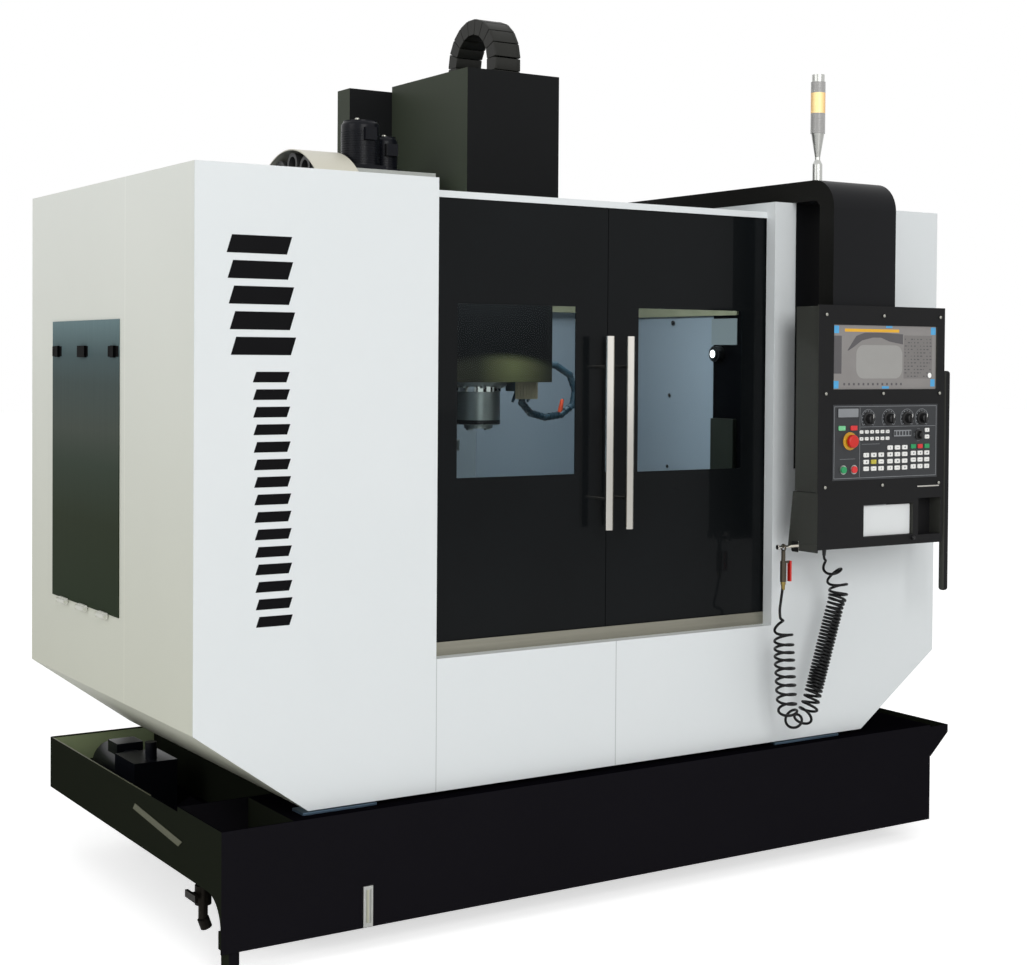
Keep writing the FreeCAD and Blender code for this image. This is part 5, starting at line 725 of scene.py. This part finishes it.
# %% One link, repeated along the path
chain_length = (2 * chain_centre[1] - sum(CHAIN_FEET)) + np.pi * chain_middle
link_count = int(chain_length / LINK_LENGTH)
link_pitch = chain_length / link_count
links = []
for number in range(link_count):
    y, z, angle = chain_place((number + 0.5) * link_pitch)
    forward = np.array([0, math.cos(angle), math.sin(angle)])
    outward = np.array([0, math.sin(angle), -math.cos(angle)])
    middle = np.array([sum(CHAIN_X) / 2, y, z])
    length = link_pitch * LINK_SHARE
    bent = 1 / chain_middle if abs(math.cos(angle)) > 1e-6 else 0.0

    def across_path(outline, level):
        """Outline in the chain's plane; lengths grow outwards in the half circle."""
        out = outline[:, 1:] + level
        return middle + outline[:, :1] * (1 + out * bent) * forward + out * outward

    for side in (-1, 1):
        face = across_path(rounded_outline(length, CHAIN_THICK - 3, 3.0, 3), 0)
        rings = [face + np.array([side * depth, 0, 0]) for depth in (38.0, 46.8)]
        rings.append(middle + LINK_SHARE * (face - middle) + np.array([side * 48.0, 0, 0]))
        links.append(patch(np.array(rings)))
    for level in (-1, 1):
        lid = across_path(rounded_outline(length * LINK_SHARE, 4.0, 1.5, 2),
                          level * (CHAIN_THICK / 2 - 4))
        links.append(patch(np.array([lid + np.array([x, 0, 0]) for x in (-39, 39)])))
chain = make("nylon_cable_chain", links, nylon, None)
CHAIN_ENDS = (0, CHAIN_BACK - 10, 0), (0, CHAIN_FRONT + 20, 0)
bend_with(chain, "head", *CHAIN_ENDS, "cable_chain")
print("chain links", link_count, "pitch", round(link_pitch, 1), "mm")

# %% [markdown]
# Inside the chain run the head's cables: three jackets that follow the same path, thinner than
# the space between the lids.

# %% Cables in the chain
CABLE_STEPS = 60
y, z, angle = chain_place(np.linspace(0, chain_length, CABLE_STEPS))
outward = np.column_stack([np.zeros(CABLE_STEPS), np.sin(angle), -np.cos(angle)])[:, None]
ring = np.linspace(0, 2 * np.pi, 10, endpoint=False)[:, None]
cables = [patch(np.column_stack([np.full(CABLE_STEPS, x), y, z])[:, None]
                + radius * np.cos(ring) * np.array([1, 0, 0]) + radius * np.sin(ring) * outward)
          for x, radius in ((82.0, 10), (108.0, 13), (134.0, 9))]
cable_bundle = make("head_cables", cables, hose_black, None)
bend_with(cable_bundle, "head", *CHAIN_ENDS)

# %% [markdown]
# ## Folded way covers
# The bellows are coated cloth on stiff frames, creased to a zigzag. As a surface, the height is
# a triangle wave of the distance along the way: the arc sine of a cosine. The cosine is damped
# a little first, which rounds the ridges.

# %% A folded cover as a function of two parameters
FOLD_STEPS, DAMPING = 12, 0.96


def folded_cover(start, end, low, high, folds, half_width):
    """Grid over (along, across): level = middle - half height * asin(damping * cos(fold angle))
    / asin(damping), and the two long edges are turned down by 12 mm."""
    along = np.linspace(0, 1, folds * FOLD_STEPS + 1)
    wave = np.arcsin(DAMPING * np.cos(2 * np.pi * folds * along)) / np.arcsin(DAMPING)
    level = (low + high) / 2 - (high - low) / 2 * wave
    across = np.array([-1, -1, -0.97, -0.5, 0, 0.5, 0.97, 1, 1]) * half_width
    drop = np.array([12, 0.0, 0, 0, 0, 0, 0, 0.0, 12])
    grid = np.stack(np.broadcast_arrays(across[None, :], (start + (end - start) * along)[:, None],
                                        level[:, None] - drop[None, :]), -1)
    return grid


def thick_sheet(grid, thickness, lift):
    """Closed shell of a sheet: the grid, and a copy moved by the thickness along lift."""
    rows, columns = grid.shape[:2]
    under = grid - thickness * np.asarray(lift, float)
    loop = np.concatenate([grid, under[:, ::-1]], axis=1)
    return patch(loop)


# %% Cover over the Y rails
y_cover = make("saddle_bellows", [thick_sheet(
    folded_cover(287.0, 544.7, 612.0, 645.0, 14, 260.0), 2.0, UP)],
    bellows_cloth, None, sharp=60.0)
bend_with(y_cover, "saddle", (0, 287, 630), (0, 544.7, 630), "y_bellows")

# %% Cover in front of the column
upright = folded_cover(710.0, 1429.7, 0.0, 32.0, 24, 165.0)
upright = np.stack([upright[..., 0], 1193.0 - upright[..., 2], upright[..., 1]], -1)
z_cover = make("head_bellows", [thick_sheet(upright, 2.0, TO_FRONT)], bellows_cloth, None,
               sharp=60.0)
bend_with(z_cover, "head", (0, 1180, 710), (0, 1180, 1429.7), "z_bellows")

# %% [markdown]
# ## Control panel
# The keypad is a printed film with white moulded caps, four rotary knobs in scale rings, an
# emergency stop in its yellow collar, and two lit buttons. The caps sit on the solid keys, a
# touch larger, with rounded edges. Their places are the same two rows and three groups.

# %% Key caps, white and coloured
PANEL_LEFT, PANEL_LOW, PANEL_FACE = 625.0, 1156.0, -201.0
KEY_HEIGHT = 2.0


def on_panel(x, z, proud=0.0):
    """Drawing point over the panel, from its lower left corner, proud of its face."""
    return PANEL_LEFT + x, PANEL_FACE - proud, PANEL_LOW + z


def cap(x, z, width, height):
    """Rounded cap over one key, from the panel's face to 1.4 mm in front of the solid key."""
    return plate(on_panel(x, z), (width + 0.8, height + 0.8), 3.4, TO_FRONT, 2.0, 0.8)


white = [(111 + 21 * i, z, 13, 9) for i in range(6) for z in (140, 120)]
white += [(131 + 30 * i, 32 + 20 * j, 20, 12) for i in range(3) for j in range(3)
          if (i, j) != (1, 1)]
white += [(227 + 30 * i, 32 + 20 * j, 20, 12) for i in range(3) for j in range(4)]
white += [(323 + 28 * i, 34 + 20 * j, 19, 12) for i in range(3) for j in range(3)]
white += [(379, 142, 17, 11), (379, 122, 17, 11)]
make("white_key_caps", [cap(*key) for key in white], key_white)
make("yellow_key_cap", [cap(161, 52, 20, 12)], key_yellow)
make("green_key_caps", [cap(323, 94, 19, 12), cap(379, 94, 19, 12)], start_green)
make("red_key_cap", [cap(351, 94, 19, 12)], lamp_red)
make("green_lamp", [cap(34, 152, 25, 13)], lamp_green)
make("red_lamp", [cap(81, 152, 25, 13)], lamp_red)
print("key caps", len(white) + 6)

# %% [markdown]
# The marks on the keys are screen print: plain bars and dots, 0.15 mm thick, so that they read
# as ink on the caps.

# %% Plain marks on the keys
legends = []
for number, (x, z, width, height) in enumerate(white):
    size = ((width * 0.5, 1.2), (width * 0.28, height * 0.4), (2.2, height * 0.5))[number % 3]
    legends.append(plate(on_panel(x, z, KEY_HEIGHT + 1.4), size, 0.15, TO_FRONT, 0.5, 0.05, 1))
make("key_marks", legends, ink_grey)

# %% Scale rings and knobs
def annulus(x, z, inner, outer, lift=0.5, start=0.0, sweep=360.0):
    """Flat ring or arc on the panel: four corner points of its section, carried round."""
    steps = max(8, int(sweep / 10))
    angle = np.radians(start + np.linspace(0, sweep, steps + 1))
    section = [(inner, 0), (outer, 0), (outer, lift), (inner, lift)]
    return patch([[on_panel(x + r * math.cos(a), z + r * math.sin(a), d) for r, d in section]
                  for a in angle])


KNOB_Z = 178
KNOB_PROFILE = [(0, 19.4), (3.2, 19.4), (3.8, 18.0), (4.2, 12.5), (17.5, 11.6), (19.2, 9.8)]
dials, knobs, pointers = [], [], []
for x in (139, 222, 297, 358):
    for angle in np.radians(225 - 27 * np.arange(11)):
        tick = on_panel(x + 23 * math.cos(angle), KNOB_Z + 23 * math.sin(angle))
        dials.append(plate(tick, (3.4, 3.4), 0.4, TO_FRONT, 1.6, 0.1, 2))
    dials.append(annulus(x, KNOB_Z, 27.0, 28.2, 0.4, -45, 270))
    knobs.append(turned(on_panel(x, KNOB_Z), TO_FRONT, KNOB_PROFILE))
    knobs.append(plate(on_panel(x, KNOB_Z, 3), (7.0, 29.0), 19.5, TO_FRONT, 3.0, 1.0))
    pointers.append(plate(on_panel(x, KNOB_Z + 8, 22.5), (1.6, 11.0), 0.3, TO_FRONT, 0.6, 0.1, 1))
make("dial_scales", dials, ink_grey)
make("rotary_knobs", knobs, black_plastic)
make("knob_pointers", pointers, key_white)

# %% Small display, name field and frame lines
panel_marks = [plate(on_panel(x, z, KEY_HEIGHT), size, 0.6, TO_FRONT, 2, 0.2)
               for x, z, size in ((277, 134, (72, 19)), (58, 196, (79, 25)))]
make("grey_fields", panel_marks, ink_grey)
lines = [plate(on_panel(x, z), size, 0.35, TO_FRONT, 0.4, 0.1, 1)
         for x, z, size in ((212, 214.5, (414, 1.4)), (212, 6, (414, 1.4)),
                            (5.5, 110, (1.4, 208)), (418.5, 110, (1.4, 208)),
                            (106, 110, (1.4, 204)), (262, 154.5, (306, 1.2)),
                            (150, 104, (72, 1.0)), (58, 62, (60, 1.0)))]
digits = [plate(on_panel(246 + 12.4 * i, 134, KEY_HEIGHT + 0.6), (8, 12), 0.2, TO_FRONT,
                1.0, 0.1, 1)
          for i in range(6)]
make("panel_lines", lines, ink_grey)
make("display_windows", digits, film_dark)

# %% Emergency stop's collar, button bezels, selector switch
collar = turned((692, PANEL_FACE, 1270), TO_FRONT,
                [(0, 26.5), (2.0, 26.0), (3.1, 23.5), (3.1, 12.0), (0.0, 12.0)], 40)
make("stop_collar", [collar], ring_yellow)
bezels = [annulus(41, 31, 10.6, 13.2, 2.2), annulus(83, 31, 10.6, 13.2, 2.2)]
make("button_bezels", bezels, alloy, "pendant")
selector = [turned(on_panel(345, 128), TO_FRONT,
                   [(0, 15), (2.5, 15), (3.5, 13.5), (4, 8), (14, 7), (15, 5)]),
            plate(on_panel(345, 128, 4), (5, 24), 12, TO_FRONT, 2.0, 0.8)]
make("feed_selector", selector, black_plastic)
make("selector_scale", [annulus(345, 128, 17.5, 18.6, 0.4, a, 30) for a in (-15, 75, 165, 255)],
     ink_grey)

# %% [markdown]
# ## Screen picture
# The display shows a control page: a grey field with a dark hill shape, a yellow message line,
# a table of small dark marks, and light-blue marks at its edges. The marks are flat plates with
# their own colours, which glow a little, as a lit panel does.

# %% Glowing inks of the screen
def lit(name, first, second, strength):
    """Backlit ink: its own colour shines a little, under a smooth clear front."""
    material, tree, shader, place = finish(name, {"Roughness": 0.25, "Emission Strength": strength})
    colour = drift(tree, place, first, second, 90)
    fill(shader, {"Base Color": colour, "Emission Color": colour})
    return material


screen_grey = lit("screen_light_field", "#787573", "#858280", 0.10)
screen_pale = lit("screen_pale_field", "#8c8b88", "#969592", 0.10)
screen_shade = lit("screen_shaded_field", "#6a6765", "#757270", 0.08)
screen_dark = lit("screen_dark_field", "#4b494b", "#565456", 0.05)
screen_yellow = lit("screen_yellow_line", "#cf9a1c", "#d9a52a", 0.15)
screen_blue = lit("screen_blue_marks", "#3f93c6", "#4d9fd0", 0.15)
screen_white = lit("screen_white_mark", "#e9e9e6", "#f0f0ee", 0.2)

# %% The screen's fields, from its lower left corner in millimetres
SCREEN_LEFT, SCREEN_LOW, SCREEN_FACE = 627.0, 1420.0, -195.0


def field(x, z, width, height, lift, corner=1.0):
    """Flat plate on the screen, given by its lower left corner."""
    return plate((SCREEN_LEFT + x + width / 2, SCREEN_FACE, SCREEN_LOW + z + height / 2),
                 (width, height), lift, TO_FRONT, corner, 0.05, 1 if corner < 5 else 6)


make("screen_ground", [field(0.5, 0.5, 418, 187, 0.4)], screen_grey)
make("screen_side_bar", [field(4, 46, 30, 110, 0.6)], screen_dark)
make("screen_message", [field(46, 168, 218, 9, 0.6)], screen_yellow)
hill_x = np.linspace(0, 1, 40)
hill_top = np.interp(hill_x, (0, 0.15, 0.3, 0.6, 1), (115, 156, 166, 167, 163))
hill_foot = np.interp(hill_x, (0, 0.1, 0.25, 0.45, 0.6, 0.75, 1),
                      (112, 123, 143, 152, 152, 141, 133))
hill = np.stack([np.stack([SCREEN_LEFT + 58 + 222 * hill_x, np.full(40, SCREEN_FACE - d),
                           SCREEN_LOW + level], -1)
                 for d, level in ((0.4, hill_foot), (0.7, hill_foot), (0.7, hill_top),
                                  (0.4, hill_top))], 1)
make("screen_hill", [patch(hill)], screen_dark)
make("screen_pale_page", [field(92, 32, 186, 98, 0.55, 28)], screen_pale)
make("screen_table", [field(284, 32, 118, 128, 0.5)], screen_shade)
marks = [(3, 163, 20, 22), (210, 181, 26, 6), (396, 163, 20, 22), (3, 3, 20, 22),
         (196, 2, 28, 7), (396, 8, 18, 22)]
make("screen_blue_marks", [field(*m, 0.7) for m in marks], screen_blue)
icons = [field(42 + 19 * i, 12, 7, 7, 0.6) for i in range(13)]
icons += [field(287 + 13 * i, 37 + 10 * j, 3 + 2 * ((5 * i + 3 * j) % 4), 3.5, 0.6)
          for i in range(9) for j in range(12) if (3 * i + 7 * j) % 5]
make("screen_icons", icons, screen_dark)
make("screen_white_dot", [field(385, 34, 15, 15, 0.8, 7)], screen_white)

# %% [markdown]
# ## Small parts of the pendant
# The bezel is held by countersunk screws, and a bright strip marks the console's lid. The gun's
# hook is a chromed bar on a small plate. Where the hose leaves the console, a tapered black
# sleeve keeps it from kinking, and a brass ferrule holds it at the gun.

# %% Screws, strip, hook and hose fitting
BEZEL_FACE, HOOK_BAR_Z = -203.0, 961.35
screw_x, screw_z = (596, 823, 1056), (1138, 1408, 1636)
heads = [turned((x, BEZEL_FACE, z), TO_FRONT,
                [(0, 4.6), (0.5, 4.6), (1.1, 3.6), (1.1, 1.6), (0.6, 1.5)],
                16) for x in screw_x for z in screw_z]
make("bezel_screws", heads, zinc_steel, "pendant")
make("console_strip", [plate((1013, -201.0, 1129.5), (90, 3.6), 1.2, TO_FRONT, 1.0, 0.3)],
     chrome, "pendant")
hook = [turned((569.0, HOSE_PLANE_Y, HOOK_BAR_Z), LEFT,
               [(0, 4.3), (58, 4.3), (58.2, 7.4), (61.2, 7.4), (61.9, 6.4)], 20),
        plate((566.8, -110.5, HOOK_BAR_Z), (31, 31), 0.6, LEFT, 4.0, 0.2)]
make("gun_hook_chrome", hook, chrome, "pendant")
make("console_plate", [plate((854, -188.0, 1033), (190, 90), 1.5, TO_FRONT, 3.0, 0.4)],
     cabinet_white, "pendant")
make("console_knob", [turned((950, BEZEL_FACE, 977), TO_FRONT,
                             [(0, 6.5), (3, 6.5), (6, 5.5), (8, 4)], 20)],
     black_plastic)
fitting = [turned((690, HOSE_PLANE_Y, 958.0), (0, 0, -1),
                  [(0, 9), (7, 9), (7.4, 8.2), (9, 8), (10, 6.6), (30, 5.2), (31, 4.6)], 24)]
make("hose_strain_relief", fitting, black_plastic)
ferrules = [turned((531, HOSE_PLANE_Y, 836.0), UP,
                   [(0, 4.8), (2, 5.4), (15, 6.0), (16.2, 7.5), (24, 7.5), (24.5, 6.6)], 24)]
make("gun_ferrule", ferrules, brass, "pendant")

# %% [markdown]
# ## Bars on the front panel
# The left front panel carries a plain column of slanted black bars, cut from vinyl film 0.3 mm
# thick.

# %% Slanted bars
def slanted_bar(x, z, width, height, slant):
    """Parallelogram on the front panel: its top edge is moved sideways by the slant."""
    corners = [(x, z), (x + width, z), (x + width + slant, z + height), (x + slant, z + height)]
    rings = [[(u, -depth, v) for u, v in corners] for depth in (0.0, 0.35)]
    return patch(rings)


bars = [slanted_bar(-1168 + 3 * i, 1755 - 62 * i, 160, 44, 14) for i in range(5)]
bars += [slanted_bar(-1098 + 0.8 * i, 1440 - 43 * i, 90, 26, 9) for i in range(15)]
make("front_bars", bars, bar_black, "machine")

# %% [markdown]
# ## Tool changer and head details
# The changer's motors are finned cans under black enamel, with bright bolt heads on top. The
# spindle's cartridge has a black seal and a polished band. The nozzle block under the head is
# beige and ribbed, and its shut-off lever is orange.

# %% Motor cans with fins
CHANGER_TOP = 2060.0
cans = []
for x, y, radius, height in ((-440.0, 700.0, 57.0, 145.0), (-335.0, 745.0, 40.0, 110.0)):
    profile = [(12.0, radius + 0.3)]
    for level in np.arange(18, height - 30, 7):
        profile += [(level, radius + 0.3), (level + 0.8, radius + 1.2), (level + 3, radius + 1.2),
                    (level + 3.8, radius + 0.3)]
    profile += [(height - 20, radius + 0.5), (height - 12, radius + 0.3), (height - 4, radius - 5),
                (height + 1, radius - 16)]
    cans.append(turned((x, y, CHANGER_TOP), UP, profile, 40))
make("motor_cans", cans, motor_black, "machine")
bolts = [turned((x, y, CHANGER_TOP + h - 0.5), UP, [(0, 7), (6, 7), (7, 5)], 12)
         for x, y, h in ((-462, 678, 145), (-418, 722, 145), (-335, 745, 111))]
make("motor_bolts", bolts, zinc_steel, "machine")

# %% Rings of the cartridge: a black seal near its lower end, and a polished band above it
SPINDLE_Y = 735
rings = [turned((0, SPINDLE_Y, 1297), UP, [(0, 67.5), (1, 68.8), (13, 68.8), (14, 67.5)], 64)]
make("cartridge_seal", rings, black_plastic, "head")
band = [turned((0, SPINDLE_Y, 1398), UP, [(0, 67.5), (1, 69.5), (17, 69.5), (18, 67.5)], 64)]
make("cartridge_band", band, chrome, "head")

# %% Nozzle tips, block and lever
block = plate((138, 671.4, 1403), (84.6, 55), 1.4, TO_FRONT, 3.0, 0.5)
ribs = [plate((104 + 11 * i, 670.2, z), (3.2, 22), 1.6, TO_FRONT, 1.0, 0.4)
        for i in range(7) for z in (1417, 1391)]
make("nozzle_block_face", [block] + ribs, nozzle_beige, "head")
lever = turned((284, 700, 1330), (0.25, 0, 0.97), [(0, 6.5), (4, 7.5), (40, 6.0), (45, 4.0)], 16)
make("shut_off_lever", [lever], valve_orange, "head")

# %% [markdown]
# ## Fittings on the right splash wall
# A dark lining covers the wall's front part, and the lamp sits on it. Two small boxes stand at the
# lining's rear edge, and a rail for the roof shutter runs along the top. The rail's pale olive is
# a painted highlight along the wall's top edge.

# %% Lining, boxes, rail and screws
WALL_X = 834.0


def on_wall(y, z, thickness, corner=2.0):
    """Plate on the right wall; y and z are the lowest and highest values."""
    return plate((WALL_X, sum(y) / 2, sum(z) / 2), (y[1] - y[0], z[1] - z[0]), thickness, LEFT,
                 corner, 0.6)


pale_grey = powder_coat("pale_grey_enamel", "#7f888a", "#8b9395", 0.45)
make("wall_lining", [on_wall((112, 598), (760, 1920), 1.5)], bar_black, "machine")
make("wall_box_pale", [on_wall((475, 606), (1553, 1640), 4)], pale_grey, "machine")
make("wall_box_dark", [on_wall((476, 590), (1100, 1310), 18)],
     moulded("olive_moulded_box", "#191c15", "#20241b", 0.5), "machine")
back_rail = plate((570, 1192.5, 1688), (530, 40), 10, TO_FRONT, 2.0, 0.6)
make("shutter_rail", [on_wall((470, 1056), (1650, 1690), 10), back_rail],
     moulded("rail_painted_highlight", "#85866a", "#a3a288", 0.4), "machine")
wall_screws = [turned((WALL_X, y, z), LEFT, [(0, r), (2, r), (3, r * 0.7)], 16)
               for y, z, r in ((836, 1381, 6), (844, 1135, 6), (818, 1629, 9))]
make("wall_screws", wall_screws, black_plastic, "machine")

# %% [markdown]
# ## Pads on the hatch
# Three black rubber pads lie under the hatch's catches, so that these don't mark the sheet.

# %% Rubber pads
pads = [plate((HATCH_SKIN_X, y, 1514.5), (80, 29), 1.5, LEFT, 2.0, 0.3)
        for y in (551, 794, 1019)]
make("hatch_catch_pads", pads, moulded("black_rubber_pads", "#060607", "#09090a", 0.7, sheen=0.05),
     "side_hatch")

# %% [markdown]
# ## Tank details
# The tank's front carries a level glass, and two pale blue steel strips lie on its lid. Pale olive
# strips on the tray's left wall and along the top edges of its left and back walls are painted
# highlights, where the edges catch the light.

# %% Level glass and lid strips
glass_tube = turned((-796.5, -44.3, 74), UP, [(0, 3.2), (1, 3.6), (83, 3.6), (84, 3.2)], 16)
# The level liquid glows a little: painted light.
make("level_tube", [glass_tube], lit("level_liquid_painted_glow", "#a9aa98", "#b7b7a4", 0.05), "machine")
lid_blue = worked_steel("pale_blue_lid_steel", "#5f7890", "#7a93a8", 0.35, 0.08, 12.0, (0.05, 1, 1),
                        0.1)
strips = [plate((x, 27, 358.0), (64, width), 6.0, UP, 2.0, 0.4)
          for x, width in ((-855, 210), (718, 256))]
make("lid_strips", strips, lid_blue, "machine")

# %% Painted highlights on the tray's left wall and along its top edges
edge_highlight_paint = worked_steel("tray_edge_painted_highlight", "#4c4e3a", "#62644c", 0.45, 0.08, 14.0,
                          (1, 0.1, 1), 0.2)
strip_corners = [(554, 284), (232, 259), (206, 276), (539, 301)]
wall_strip = [[(x, y, z) for y, z in strip_corners] for x in (-1193.0, -1194.5)]
rim = [plate((-1191, 836, 345.0), (812, 4.0), 0.8, UP, 1.5, 0.3, 1),
       plate((-1026, 1258, 345.0), (6.0, 326), 0.8, UP, 1.5, 0.3, 1)]
make("tray_strips", [patch(wall_strip)] + rim, edge_highlight_paint, "machine")
# A pale olive coat covers the tray's back wall.
back_wall = plate((-1026, 1257.9, 303), (322, 76), 0.6, TO_FRONT, 1.0, 0.2, 1)
make("tray_back_wall", [back_wall], powder_coat("pale_olive_coat", "#aebd8f", "#b8c79a", 0.6),
     "machine")

# %% [markdown]
# ## Stage
# A pale floor and a white surround, as in a product picture. The floor takes the machine's soft
# shadow. Camera, mirror and glass rays see the surround as plain white, and the light it gives
# to the object is set apart from that.

# %% Floor
floor_mesh = bpy.data.meshes.new("studio_floor")
floor_mesh.from_pydata([(-40, -40, 0), (40, -40, 0), (40, 40, 0), (-40, 40, 0)], [], [(0, 1, 2, 3)])
floor = bpy.data.objects.new("studio_floor", floor_mesh)
bpy.context.scene.collection.objects.link(floor)
floor_paint, tree, shader, _ = finish("pale_floor", {
    "Base Color": (0.86, 0.86, 0.86, 1.0), "Roughness": 0.9, "Emission Color": linear("#ffffff")})
rays = add(tree, "LightPath", {}).outputs
fill(shader, {"Emission Strength": add(tree, "MapRange", {0: rays["Is Camera Ray"],
                                                          3: 0.15, 4: 0.62})})
floor_mesh.materials.append(floor_paint)

# %% Surround
world = bpy.data.worlds.new("studio")
bpy.context.scene.world = world
world.use_nodes = True
tree = world.node_tree
background = tree.nodes["Background"]
background.inputs["Color"].default_value = linear("#ffffff")
rays = add(tree, "LightPath", {}).outputs
seen = add(tree, "Math", {0: rays["Is Camera Ray"], 1: rays["Is Transmission Ray"]},
           operation="MAXIMUM")
seen = add(tree, "Math", {0: seen, 1: rays["Is Glossy Ray"]}, operation="MAXIMUM")
fill(background, {"Strength": add(tree, "MapRange", {0: seen, 3: 0.5, 4: 1.0})})

# %% Lamps
def area_lamp(name, place_mm, target_mm, size, power, colour=(1.0, 1.0, 1.0)):
    """Square soft lamp at a place, turned towards a target."""
    data = bpy.data.lights.new(name, "AREA")
    data.size, data.energy, data.color = size, power, colour
    lamp = bpy.data.objects.new(name, data)
    bpy.context.scene.collection.objects.link(lamp)
    start, end = (Vector(to_frame(p)) for p in (place_mm, target_mm))
    lamp.matrix_world = (Matrix.Translation(start)
                         @ (start - end).to_track_quat("Z", "Y").to_matrix().to_4x4())


area_lamp("front_light", (-1500, -7000, 4200), (0, 0, 1100), 4.0, 235)
area_lamp("left_light", (-7500, -200, 4600), (-1250, 700, 1500), 4.0, 100)
area_lamp("low_left_light", (-4300, 300, 260), (-1150, 500, 480), 1.5, 3)
area_lamp("inside_light", (0, 640, 1930), (0, 700, 900), 0.55, 27, (0.92, 0.97, 1.0))
scene = bpy.context.scene
scene.view_settings.view_transform = "Standard"
